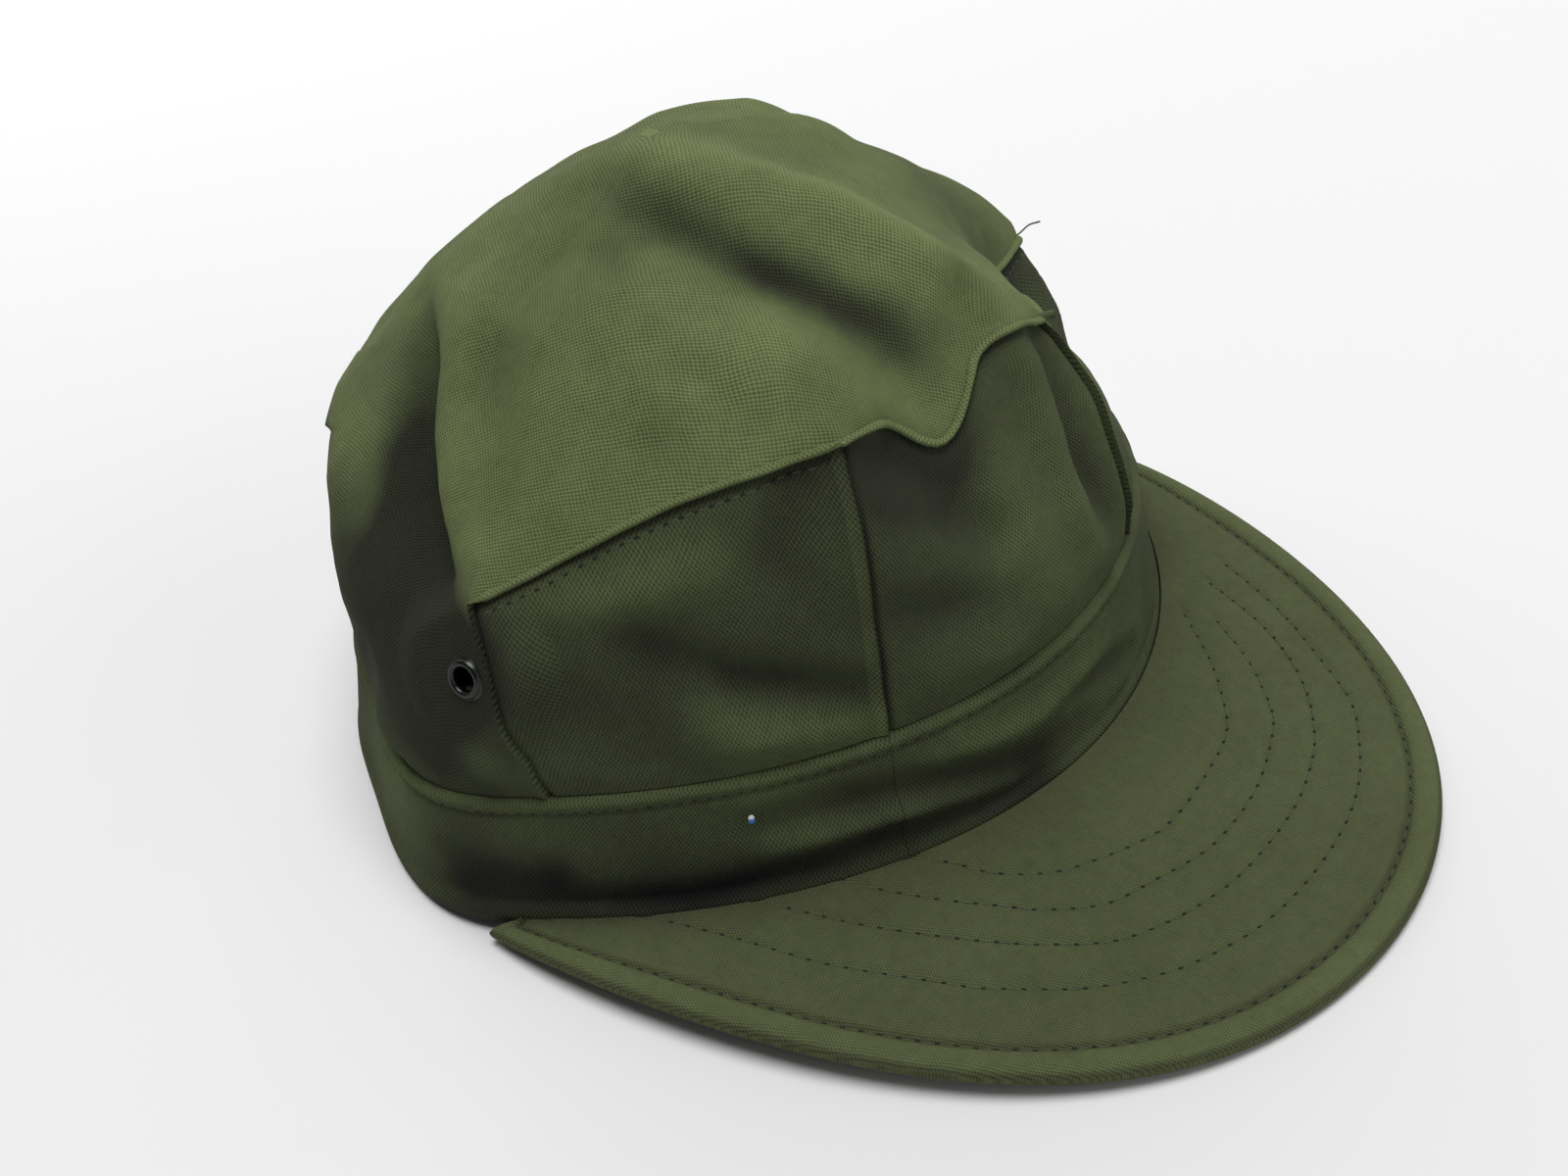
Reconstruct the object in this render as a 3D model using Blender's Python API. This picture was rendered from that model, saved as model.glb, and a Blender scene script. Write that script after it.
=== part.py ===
"""Cotton utility cap: eight-cornered soft crown, headband and stitched visor.

Metres, +Z up.  The origin is on the surface that the cap rests on, under the middle
of the whole cap.  The front of the cap and its visor point along -Y, the wearer's
right is -X.  The pieces are made about the middle of the headband and moved back
together.  Angles round the cap are measured from the front, positive to +X.
"""
import math

import bmesh
import bpy
import numpy as np
from mathutils import Matrix, Vector

# Headband
BAND_HALF_WIDTH = 0.1023
BAND_HALF_LENGTH = 0.0932
BAND_HEIGHT = 0.0274
BAND_LEAN = 0.0055
BAND_WALL = 0.0024
BAND_FLATTENING = 0.030
BAND_EGG = -0.018
WELT_WIDTH = 0.0045
WELT_GROOVE = 0.0007
WELT_SWELL = 0.0003

# How the cap lies: the rim is flat on the surface behind this angle and rises to the front
RIM_FLAT_FROM_DEG = 115.0
RIM_RISE = 0.0103
RIM_RISE_POWER = 1.5

# Crown
CLOTH = 0.0016
GAP = 0.0003
SEAM_GAP = 0.0004
CROWN_HALF_WIDTH = 0.0854
CROWN_HALF_LENGTH = 0.0854
CROWN_HEIGHT = 0.0740
CROWN_DOME_HEIGHT = 0.1270
CROWN_CENTRE_BACK = 0.0120
WALL_BULGE = 0.0035
SEAM_INSET = 0.0012
RIDGE_LIP = 0.0013
RIDGE_LIP_WIDTH = 0.0026
TOP_LIP_SHARE = 0.6
REAR_ROUNDING = 0.34
REAR_ROUNDING_RISE_DEG = 18.0
FOLD_SIZE = 0.010
WALL_SLANT_SHARE = 0.8
CORNER_LEAD = 0.6
ROUNDING_SAMPLES = 7
DOME_POWER = 1.8
DOME_BLEND_DEG = 34.0
EDGE_SAG_FADE = 2.5

# Visor
VISOR_REACH = 0.0709
VISOR_WALL = 0.0034
VISOR_END_WALL = 0.0022
VISOR_END_DEG = 79.0
VISOR_OUTLINE_END_DEG = 88.0
VISOR_END_PROUD = 0.0044
VISOR_FULLNESS = 0.58
VISOR_ROUNDNESS = 3.13
VISOR_BLUNTNESS = 0.215
VISOR_BLUNT_POWER = 8
VISOR_SKEW_ACROSS = -0.0022
VISOR_SKEW_ALONG = -0.0023
VISOR_FLOOR_CLEARANCE = 0.0002
VISOR_SIDE_RISE = 0.0046
HEM_WIDTH = 0.0065
HEM_GROOVE = 0.0006
HEM_GROOVE_SHARE = 0.2
HEM_SWELL = 0.0002
VISOR_EDGE_ROUNDING = 0.18
VISOR_BASE_FADE_DEG = 20.0

# Eyelets
EYELET_DEG = 74.0
EYELET_LEVEL = 0.63
EYELET_FLANGE_RADIUS = 0.0047
EYELET_BACK_RADIUS = 0.0042
EYELET_BORE_RADIUS = 0.0025
EYELET_METAL = 0.0006
EYELET_HEIGHT = 0.0009
EYELET_FLAT_CLOTH = 0.0130
EYELET_FLAT_FADE = 0.0070
EYELET_SIDES = 16
EYELET_TURN_STEP_DEG = 1.5
EYELET_LEVEL_STEP = 0.1
LEFT_EYELET_SINK = 0.0060

# Steps of the meshes
FRONT_STEPS = 18
SIDE_STEPS = 8
REAR_STEPS = 48
WALL_STEPS = 8
TOP_STEPS = 8
TOP_ROW_CROWDING = 1.15
VISOR_STEPS_ROUND = 44
VISOR_STEPS_OUT = 5

# Corners of the crown's upper edge, front to back, on one side.  The seam below each
# starts from the headband at seam_deg; across, along and up are shares of
# CROWN_HALF_WIDTH, CROWN_HALF_LENGTH and CROWN_HEIGHT.
#  seam_deg, across, along, up
CORNERS = (
    (25.1, 0.369, -0.760, 1.337),
    (69.0, 1.000, -0.187, 1.004),
    (103.0, 0.960, 0.300, 1.020),
    (131.0, 0.750, 0.720, 1.020),
    (157.0, 0.380, 1.000, 0.960),
    (180.0, 0.000, 1.060, 0.930),
)
# Places where the crown's sewn edge sags or stands up; down and out are shares of FOLD_SIZE.
#  name, deg, width_deg, down, out
EDGE_SAGS = (
    ("dip by the front right corner", -6.5, 6.5, 1.15, 0.45),
    ("rise beside the dip", -19.0, 5.0, -0.10, 0.25),
    ("front left corner", 26.0, 9.0, 0.55, -0.18),
    ("left diagonal edge", 47.0, 13.0, 0.55, -0.70),
)

# Places where the headband stands out or is drawn in; out is a share of FOLD_SIZE.
#  name, deg, width_deg, out
BAND_BULGES = (
    ("beside the visor's right end", -83.0, 13.0, 0.34),
    ("behind the right side", -111.0, 14.0, -0.30),
)

# Folds and dents of the cloth.  Each runs along a line of points (across, along, up, depth):
# the places are shares of CROWN_HALF_WIDTH, CROWN_HALF_LENGTH and CROWN_DOME_HEIGHT, depth
# and width are shares of FOLD_SIZE, and a negative depth goes inward.
#  name, width, points
CROWN_FOLDS = (
    ("crest from the front left corner", 0.80,
     ((0.34, -0.76, 0.77, 0.25), (0.20, -0.46, 0.90, 0.40), (0.04, -0.10, 0.99, 0.25))),
    ("hollow behind the dip", 1.20,
     ((-0.08, -0.66, 0.80, -0.20), (-0.10, -0.40, 0.90, -0.55), (-0.20, 0.00, 0.98, -0.40))),
    ("swell beside the hollow", 1.50,
     ((-0.36, -0.52, 0.84, 0.15), (-0.46, -0.24, 0.87, 0.35), (-0.52, 0.02, 0.86, 0.20))),
    ("high point at the back", 2.20,
     ((0.40, 0.16, 0.94, 0.34), (0.54, 0.32, 0.86, 0.40))),
    ("tuck behind the side corner", 1.05,
     ((-0.56, 0.52, 0.76, -0.15), (-0.68, 0.43, 0.74, -0.70), (-0.82, 0.33, 0.68, -0.95),
      (-0.94, 0.24, 0.58, -0.85), (-1.04, 0.12, 0.47, -0.40))),
    ("roll in front of the tuck", 0.80,
     ((-0.60, 0.36, 0.80, 0.12), (-0.74, 0.26, 0.76, 0.30), (-0.88, 0.12, 0.69, 0.38),
      (-0.97, 0.00, 0.62, 0.30), (-1.00, -0.12, 0.60, 0.15))),
    ("rear right corner", 1.20,
     ((-0.50, 0.76, 0.68, -0.15), (-0.68, 0.73, 0.61, 0.12), (-0.78, 0.70, 0.53, -0.12),
      (-0.88, 0.64, 0.47, -0.32), (-0.96, 0.52, 0.36, -0.10))),
    ("flat on the crown", 1.20,
     ((0.04, 0.36, 0.98, -0.38), (0.20, 0.28, 0.98, -0.25))),
    ("shoulder of the high point", 0.90,
     ((0.28, 0.40, 0.91, 0.12), (0.42, 0.27, 0.91, 0.26))),
    ("slack in front of the high point", 0.80,
     ((0.44, 0.10, 0.93, -0.12), (0.54, 0.00, 0.88, -0.12))),
    ("lobe behind the tuck", 1.00,
     ((-0.80, 0.48, 0.62, 0.12), (-0.92, 0.38, 0.50, 0.05), (-0.98, 0.34, 0.38, -0.10))),
    ("overhang above the band", 0.50,
     ((-1.00, 0.42, 0.27, 0.10), (-1.12, 0.12, 0.27, 0.20), (-1.12, -0.06, 0.27, 0.15))),
    ("fold beside the rear seam", 0.45,
     ((-1.04, -0.06, 0.56, 0.20), (-1.08, -0.15, 0.42, 0.25), (-1.08, -0.24, 0.33, 0.20))),
    ("upper ridge on the right side", 0.75,
     ((-0.93, -0.28, 0.58, 0.15), (-0.86, -0.45, 0.51, 0.22))),
    ("lower ridge on the right side", 0.85,
     ((-0.82, -0.50, 0.55, 0.15), (-0.74, -0.66, 0.42, 0.25), (-0.73, -0.70, 0.34, 0.15))),
    ("dent low on the right side", 1.10,
     ((-0.99, -0.38, 0.42, -0.30), (-0.90, -0.52, 0.40, -0.20))),
    ("dent high on the right side", 1.20,
     ((-0.68, -0.56, 0.64, -0.15), (-0.56, -0.64, 0.62, -0.20))),
    ("pocket under the dip", 0.80,
     ((-0.22, -0.84, 0.69, -0.55), (-0.12, -0.88, 0.60, -0.25))),
    ("front left crease", 0.45,
     ((0.30, -0.78, 0.73, -0.20), (0.27, -0.88, 0.55, -0.40), (0.36, -0.95, 0.38, -0.15))),
    ("front left ridge", 0.50,
     ((0.20, -0.80, 0.71, 0.25), (0.17, -0.92, 0.52, 0.30), (0.26, -0.97, 0.38, 0.10))),
    ("swell of the front", 2.00,
     ((0.00, -0.90, 0.55, 0.25), (-0.12, -0.96, 0.42, 0.20))),
    ("hollow on the left side", 1.50,
     ((0.66, -0.56, 0.70, -0.35), (0.80, -0.40, 0.62, -0.60), (0.92, -0.34, 0.46, -0.30))),
    ("drawn in under the left side corner", 1.40,
     ((1.03, -0.25, 0.51, -0.22), (1.04, -0.31, 0.47, -0.80), (1.04, -0.36, 0.36, -0.20))),
    ("drawn in behind the right side", 1.10,
     ((-0.98, 0.56, 0.32, -0.18), (-1.06, 0.30, 0.32, -0.22))),
)
BAND_FOLDS = (
    ("crumple above the visor", 0.36,
     ((-0.56, -0.90, 0.17, -0.10), (-0.30, -1.03, 0.17, -0.30), (0.00, -1.08, 0.15, -0.20))),
    ("ridge above the crumple", 0.34,
     ((-0.40, -0.98, 0.22, 0.10), (-0.13, -1.05, 0.23, 0.25), (0.16, -1.05, 0.21, 0.10))),
    ("hollow at the visor's end", 0.45,
     ((-1.17, -0.14, 0.12, -0.20), (-1.10, -0.38, 0.12, -0.25))),
)

FRONT_SEAM_DEG = CORNERS[0][0]
SIDE_SEAM_DEG = CORNERS[1][0]

OLIVE = (0.055, 0.062, 0.026, 1.0)
OLIVE_TOP = (0.085, 0.095, 0.040, 1.0)
GUNMETAL = (0.06, 0.06, 0.05, 1.0)


def rim_height(deg):
    """Height of the headband's lower edge."""
    flat = math.cos(math.radians(RIM_FLAT_FROM_DEG))
    share = max(0.0, (math.cos(math.radians(deg)) - flat) / (1.0 - flat))
    return RIM_RISE * share ** RIM_RISE_POWER


def visor_wall(deg):
    """Thickness of the visor, thinner towards its two ends."""
    share = min(1.0, abs(deg) / VISOR_END_DEG)
    return VISOR_WALL + (VISOR_END_WALL - VISOR_WALL) * share ** 2


def base_line(deg):
    """Height at which the visor's upper face meets the headband."""
    past = min(1.0, max(0.0, (abs(deg) - VISOR_END_DEG) / VISOR_BASE_FADE_DEG))
    return rim_height(deg) + visor_wall(deg) * (1.0 - past)


def ring(deg, inward, height):
    """A point of the headband's rounded outline, set inward by a distance."""
    angle = math.radians(deg)
    flat = 1.0 - BAND_FLATTENING * (1.0 - math.cos(4.0 * angle)) / 2.0
    egg = 1.0 + BAND_EGG * math.cos(angle)
    out = sum(FOLD_SIZE * bulge * math.exp(-((signed(deg - at) / width) ** 2))
              for _, at, width, bulge in BAND_BULGES)
    across = (BAND_HALF_WIDTH - inward) * math.sin(angle) * egg * flat + out * math.sin(angle)
    along = -(BAND_HALF_LENGTH - inward) * math.cos(angle) * flat - out * math.cos(angle)
    return np.array((across, along, height))


def column_angles():
    """Angles of the columns round the cap, with one on every seam."""
    front = np.linspace(-FRONT_SEAM_DEG, FRONT_SEAM_DEG, FRONT_STEPS + 1)[:-1]
    left = np.linspace(FRONT_SEAM_DEG, SIDE_SEAM_DEG, SIDE_STEPS + 1)[:-1]
    rear = np.linspace(SIDE_SEAM_DEG, 360.0 - SIDE_SEAM_DEG, REAR_STEPS + 1)[:-1]
    right = np.linspace(-SIDE_SEAM_DEG, -FRONT_SEAM_DEG, SIDE_STEPS + 1)[:-1]
    return [float(a) for a in np.concatenate((front, left, rear, right))]


def signed(deg):
    """The same angle between -180 and 180."""
    return (deg + 180.0) % 360.0 - 180.0


def corner_point(row):
    """A corner of the crown on the +X side."""
    return np.array((row[1] * CROWN_HALF_WIDTH, row[2] * CROWN_HALF_LENGTH, row[3] * CROWN_HEIGHT))


def shoulder(deg, sag_share=1.0):
    """The crown's upper edge, with a share of its sags."""
    deg = signed(deg)
    point = smooth_shoulder(deg)
    for _, at, width, down, out in EDGE_SAGS:
        strength = sag_share * FOLD_SIZE * math.exp(-(((deg - at) / width) ** 2))
        outward = np.array((point[0], point[1], 0.0)) / math.hypot(point[0], point[1])
        point = point + outward * strength * out
        point[2] -= strength * down
    return point


def smooth_shoulder(deg):
    """The crown's upper edge: straight between the corners in front, a smooth curve behind."""
    side = -1.0 if deg < 0.0 else 1.0
    turn = abs(deg)
    mirror = np.array((side, 1.0, 1.0))
    if turn <= FRONT_SEAM_DEG:
        point = corner_point(CORNERS[0]) * mirror
        point[0] *= turn / FRONT_SEAM_DEG
        return point
    rows = [row for row in CORNERS if row[0] <= turn + 1e-9]
    at = min(len(rows) - 1, len(CORNERS) - 2)
    low, high = CORNERS[at], CORNERS[at + 1]
    share = (turn - low[0]) / (high[0] - low[0])
    start, end = corner_point(low), corner_point(high)
    if at == 0:
        return (start + (end - start) * share) * mirror
    before = corner_point(CORNERS[at - 1]) if at > 1 else start - (end - start) * CORNER_LEAD
    mirrored = start * np.array((-1.0, 1.0, 1.0))
    after = corner_point(CORNERS[at + 2]) if at + 2 < len(CORNERS) else mirrored
    return catmull(before, start, end, after, share) * mirror


def catmull(before, start, end, after, share):
    """A smooth curve from start to end."""
    first = 2.0 * start
    second = (end - before) * share
    third = (2.0 * before - 5.0 * start + 4.0 * end - after) * share ** 2
    fourth = (3.0 * start - before - 3.0 * end + after) * share ** 3
    return (first + second + third + fourth) / 2.0


def crown_point(deg, level):
    """Outer face before folds: level 0 at the headband, 1 at the edge, 2 at the middle."""
    if level > 1.0:
        return dome_point(deg, min(level, 2.0) - 1.0)
    edge = shoulder(deg)
    foot = ring(deg, BAND_LEAN + SEAM_INSET, base_line(signed(deg)) + BAND_HEIGHT + GAP)
    point = foot + (edge - foot) * level
    out = np.array((foot[0], foot[1], 0.0))
    out /= np.linalg.norm(out)
    return point + out * WALL_BULGE * 4.0 * level * (1.0 - level)


def dome_point(deg, share):
    """The crown's top, from its edge (0) to its middle (1); the corners fade out on the way up."""
    centre = np.array((0.0, CROWN_CENTRE_BACK, CROWN_DOME_HEIGHT))
    total = np.zeros(3)
    spread = DOME_BLEND_DEG * share
    steps = (-1.0, -0.5, 0.0, 0.5, 1.0)
    for step in steps:
        edge = shoulder(deg + step * spread, (1.0 - share) ** EDGE_SAG_FADE)
        point = edge + (centre - edge) * share
        point[2] = edge[2] + (centre[2] - edge[2]) * (1.0 - (1.0 - share) ** DOME_POWER)
        total += point
    return total / len(steps)


def rounded_crown_point(deg, level):
    """The crown's outer face, with its edge rounded over behind the side corners."""
    turn = abs(signed(deg))
    rear = min(1.0, max(0.0, (turn - SIDE_SEAM_DEG) / REAR_ROUNDING_RISE_DEG))
    reach = REAR_ROUNDING * rear
    samples = np.linspace(-1.0, 1.0, ROUNDING_SAMPLES)
    near = max(0.0, min(level, 2.0 - level))
    reach = min(reach, near)
    points = [crown_point(deg, level + reach * s) for s in samples]
    return np.mean(points, axis=0)


def levels():
    """Levels of the crown's rows, with a close pair on each side of the edge for its lip."""
    lip = RIDGE_LIP_WIDTH / (CROWN_HEIGHT * WALL_SLANT_SHARE)
    wall = np.linspace(0.0, 1.0 - lip, WALL_STEPS)
    top = np.linspace(0.0, 1.0, TOP_STEPS + 1)[:-1] ** TOP_ROW_CROWDING
    top = 1.0 + lip * TOP_LIP_SHARE + (1.0 - lip * TOP_LIP_SHARE) * top
    return [float(v) for v in wall] + [1.0] + [float(v) for v in top]


def fold_depth(place, folds):
    """How far the folds move the cloth outward at a place."""
    scale = np.array((CROWN_HALF_WIDTH, CROWN_HALF_LENGTH, CROWN_DOME_HEIGHT))
    total = 0.0
    for _, width, line in folds:
        best = 0.0
        for start, end in zip(line[:-1], line[1:]):
            first, last = np.array(start[:3]) * scale, np.array(end[:3]) * scale
            span = last - first
            share = min(1.0, max(0.0, float(np.dot(place - first, span) / np.dot(span, span))))
            away = np.linalg.norm(place - first - span * share) / (width * FOLD_SIZE)
            depth = (start[3] + (end[3] - start[3]) * share) * math.exp(-away * away)
            if abs(depth) > abs(best):
                best = depth
        total += best
    return total * FOLD_SIZE


def vertex_normals(points, quads):
    """Outward unit normals at the points of a faceted skin."""
    normals = np.zeros_like(points)
    for face in quads:
        corners = points[list(face)]
        cross = np.zeros(3)
        for index in range(1, len(face) - 1):
            cross += np.cross(corners[index] - corners[0], corners[index + 1] - corners[0])
        for vertex in face:
            normals[vertex] += cross
    lengths = np.linalg.norm(normals, axis=1)
    return normals / lengths[:, None]


def material(name, colour, roughness, metallic=0.0):
    """A plain finish."""
    made = bpy.data.materials.new(name)
    made.use_nodes = True
    shader = made.node_tree.nodes["Principled BSDF"]
    shader.inputs["Base Color"].default_value = colour
    shader.inputs["Roughness"].default_value = roughness
    shader.inputs["Metallic"].default_value = metallic
    return made


def add_object(name, points, faces, finish):
    """A named object from points and faces, with its faces turned outward."""
    mesh = bpy.data.meshes.new(name)
    mesh.from_pydata([tuple(p) for p in points], [], [tuple(f) for f in faces])
    mesh.validate()
    work = bmesh.new()
    work.from_mesh(mesh)
    bmesh.ops.recalc_face_normals(work, faces=work.faces)
    if work.calc_volume(signed=True) < 0.0:
        bmesh.ops.reverse_faces(work, faces=work.faces)
    work.to_mesh(mesh)
    work.free()
    mesh.shade_smooth()
    mesh.set_sharp_from_angle(angle=math.radians(40.0))
    made = bpy.data.objects.new(name, mesh)
    made.data.materials.append(finish)
    bpy.context.scene.collection.objects.link(made)
    return made


def boundary_edges(faces):
    """Edges that only one face uses, in that face's direction."""
    seen = {}
    for face in faces:
        for index, start in enumerate(face):
            end = face[(index + 1) % len(face)]
            if (end, start) in seen:
                del seen[(end, start)]
            else:
                seen[(start, end)] = True
    return list(seen)


def pulled_back(points, faces, distance):
    """Points of a panel with its border drawn in by a distance."""
    moved = points.copy()
    border = {vertex for edge in boundary_edges(faces) for vertex in edge}
    middles = {vertex: [] for vertex in border}
    for face in faces:
        middle = points[list(face)].mean(axis=0)
        for vertex in face:
            if vertex in border:
                middles[vertex].append(middle)
    ends = {}
    for start, end in boundary_edges(faces):
        ends.setdefault(start, []).append(end)
        ends.setdefault(end, []).append(start)
    for vertex, near in middles.items():
        inward = np.mean(near, axis=0) - points[vertex]
        along = points[ends[vertex][0]] - points[ends[vertex][-1]]
        length = np.linalg.norm(along)
        if len(near) > 1 and length > 0.0:
            along /= length
            inward = inward - along * np.dot(inward, along)
        moved[vertex] = points[vertex] + inward / np.linalg.norm(inward) * distance
    return moved


def panel(name, outer, inner, faces, finish):
    """A cloth panel: both skins of the given faces, closed round its border."""
    outside = pulled_back(outer, faces, SEAM_GAP / 2.0)
    inside = pulled_back(inner, faces, SEAM_GAP / 2.0)
    used = sorted({vertex for face in faces for vertex in face})
    place = {vertex: index for index, vertex in enumerate(used)}
    count = len(used)
    points = [outside[v] for v in used] + [inside[v] for v in used]
    skins = [tuple(place[v] for v in face) for face in faces]
    skins += [tuple(place[v] + count for v in reversed(face)) for face in faces]
    for start, end in boundary_edges(faces):
        skins.append((place[end], place[start], place[start] + count, place[end] + count))
    return add_object(name, points, skins, finish)


def crown_grid():
    """Outer points of the whole crown and its faces, as (column, row, face)."""
    angles = column_angles()
    rows = levels()
    points = [rounded_crown_point(a, v) for v in rows for a in angles]
    points.append(crown_point(0.0, 2.0))
    count = len(angles)
    apex = len(points) - 1
    faces = []
    for row in range(len(rows) - 1):
        for column in range(count):
            after = (column + 1) % count
            low, high = row * count, (row + 1) * count
            faces.append((column, row, (low + column, low + after, high + after, high + column)))
    last = (len(rows) - 1) * count
    for column in range(count):
        faces.append((column, len(rows) - 1, (last + column, last + (column + 1) % count, apex)))
    return np.array(points), faces, angles, rows


def eyelet_frame(side):
    """Centre and outward axis of an eyelet, on the crown's outer face."""
    step = EYELET_TURN_STEP_DEG
    centre = rounded_crown_point(EYELET_DEG * side, EYELET_LEVEL)
    sink = LEFT_EYELET_SINK if side > 0.0 else 0.0
    after = rounded_crown_point((EYELET_DEG + step) * side, EYELET_LEVEL)
    before = rounded_crown_point((EYELET_DEG - step) * side, EYELET_LEVEL)
    above = rounded_crown_point(EYELET_DEG * side, EYELET_LEVEL + EYELET_LEVEL_STEP)
    below = rounded_crown_point(EYELET_DEG * side, EYELET_LEVEL - EYELET_LEVEL_STEP)
    round_cap = after - before
    upward = above - below
    axis = np.cross(round_cap, upward) * side
    axis /= np.linalg.norm(axis)
    return centre - axis * sink, axis


def flatten_at_eyelets(points):
    """Lays the cloth flat under each eyelet's flange."""
    for side in (1.0, -1.0):
        centre, axis = eyelet_frame(side)
        for index, point in enumerate(points):
            away = np.linalg.norm(point - centre)
            keep = min(1.0, max(0.0, (away - EYELET_FLAT_CLOTH) / EYELET_FLAT_FADE))
            off = float(np.dot(point - centre, axis))
            if keep < 1.0 and abs(off) < EYELET_FLAT_CLOTH:
                points[index] = point - axis * off * (1.0 - keep)


def ridge_lip(points, normals, angles, rows):
    """Stands the sewn edge between the front and side panels and the top proud as a lip."""
    count = len(angles)
    row = rows.index(1.0)
    for column, angle in enumerate(angles):
        if abs(signed(angle)) <= SIDE_SEAM_DEG + 1e-6:
            points[row * count + column] += normals[row * count + column] * RIDGE_LIP


def inner_skin(points, normals, faces, thickness):
    """Points one cloth thickness inside the outer skin, farther at sharp edges."""
    closeness = np.ones(len(points))
    for face in faces:
        corners = points[list(face)]
        cross = np.cross(corners[1] - corners[0], corners[2] - corners[0])
        length = np.linalg.norm(cross)
        if length == 0.0:
            continue
        for vertex in face:
            facing = float(np.dot(cross / length, normals[vertex]))
            closeness[vertex] = min(closeness[vertex], facing)
    depth = thickness / np.clip(closeness, 0.7, 1.0)
    return points - normals * depth[:, None]


def build_crown(cloth, top_cloth):
    """The crown's panels: top and back in one cloth, the front, and two sides."""
    points, cells, angles, rows = crown_grid()
    quads = [cell[2] for cell in cells]
    normals = vertex_normals(points, quads)
    count = len(angles)
    for index, point in enumerate(points):
        held = 0.0 if index < count else 1.0
        points[index] = point + normals[index] * fold_depth(point, CROWN_FOLDS) * held
    flatten_at_eyelets(points)
    normals = vertex_normals(points, quads)
    ridge_lip(points, normals, angles, rows)
    normals = vertex_normals(points, quads)
    inner = inner_skin(points, normals, quads, CLOTH)
    edge_row = rows.index(1.0)
    groups = {"crown_top": [], "front_panel": [], "side_panel_left": [], "side_panel_right": []}
    for column, row, face in cells:
        middle = signed(angles[column] + 0.01)
        if row >= edge_row or abs(middle) > SIDE_SEAM_DEG:
            groups["crown_top"].append(face)
        elif abs(middle) < FRONT_SEAM_DEG:
            groups["front_panel"].append(face)
        elif middle > 0.0:
            groups["side_panel_left"].append(face)
        else:
            groups["side_panel_right"].append(face)
    for name, faces in groups.items():
        finish = top_cloth if name == "crown_top" else cloth
        made = panel(name, points, inner, faces, finish)
        if name == "crown_top":
            cut_eyelet_holes(made)


def eyelet_matrix(side):
    """Place of an eyelet, its own +Z along its axis."""
    centre, axis = eyelet_frame(side)
    turn = Vector(axis).to_track_quat("Z", "Y").to_matrix().to_4x4()
    return Matrix.Translation(Vector(centre)) @ turn


def cut_eyelet_holes(crown):
    """Cuts a clear hole through the cloth for each eyelet."""
    for side, label in ((1.0, "left"), (-1.0, "right")):
        mesh = bpy.data.meshes.new("eyelet_cutter_" + label)
        work = bmesh.new()
        radius = EYELET_BORE_RADIUS + EYELET_METAL + GAP
        bmesh.ops.create_cone(work, cap_ends=True, segments=EYELET_SIDES,
                              radius1=radius, radius2=radius, depth=6.0 * CLOTH)
        work.to_mesh(mesh)
        work.free()
        cutter = bpy.data.objects.new(mesh.name, mesh)
        cutter.matrix_world = eyelet_matrix(side)
        cutter.hide_render = True
        cutter.display_type = "WIRE"
        bpy.context.scene.collection.objects.link(cutter)
        hole = crown.modifiers.new("eyelet_hole_" + label, "BOOLEAN")
        hole.operation = "DIFFERENCE"
        hole.solver = "EXACT"
        hole.object = cutter


def build_eyelet(side, metal):
    """A rolled metal eyelet: flange outside, barrel through the cloth, smaller flange inside."""
    bore, barrel = EYELET_BORE_RADIUS, EYELET_BORE_RADIUS + EYELET_METAL
    flange, back = EYELET_FLANGE_RADIUS, EYELET_BACK_RADIUS
    face = GAP * 1.5
    inside = -CLOTH - GAP * 1.5
    high = face + EYELET_HEIGHT
    deep = inside - EYELET_METAL
    profile = (
        (bore, face), (bore + 0.2 * EYELET_METAL, high * 0.8), ((bore + flange) / 2.0, high),
        (flange - 0.4 * EYELET_METAL, high * 0.75), (flange, face + 0.3 * EYELET_METAL),
        (flange - 0.3 * EYELET_METAL, face),
        (barrel, face), (barrel, inside), (back, inside), (back, deep), (bore, deep),
    )
    points, faces = [], []
    for step in range(EYELET_SIDES):
        angle = 2.0 * math.pi * step / EYELET_SIDES
        points += [(r * math.cos(angle), r * math.sin(angle), h) for r, h in profile]
    size = len(profile)
    for step in range(EYELET_SIDES):
        here, after = step * size, (step + 1) % EYELET_SIDES * size
        for k in range(size):
            n = (k + 1) % size
            faces.append((here + k, here + n, after + n, after + k))
    made = add_object("eyelet_left" if side > 0.0 else "eyelet_right", points, faces, metal)
    made.matrix_world = eyelet_matrix(side)
    return made


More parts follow.
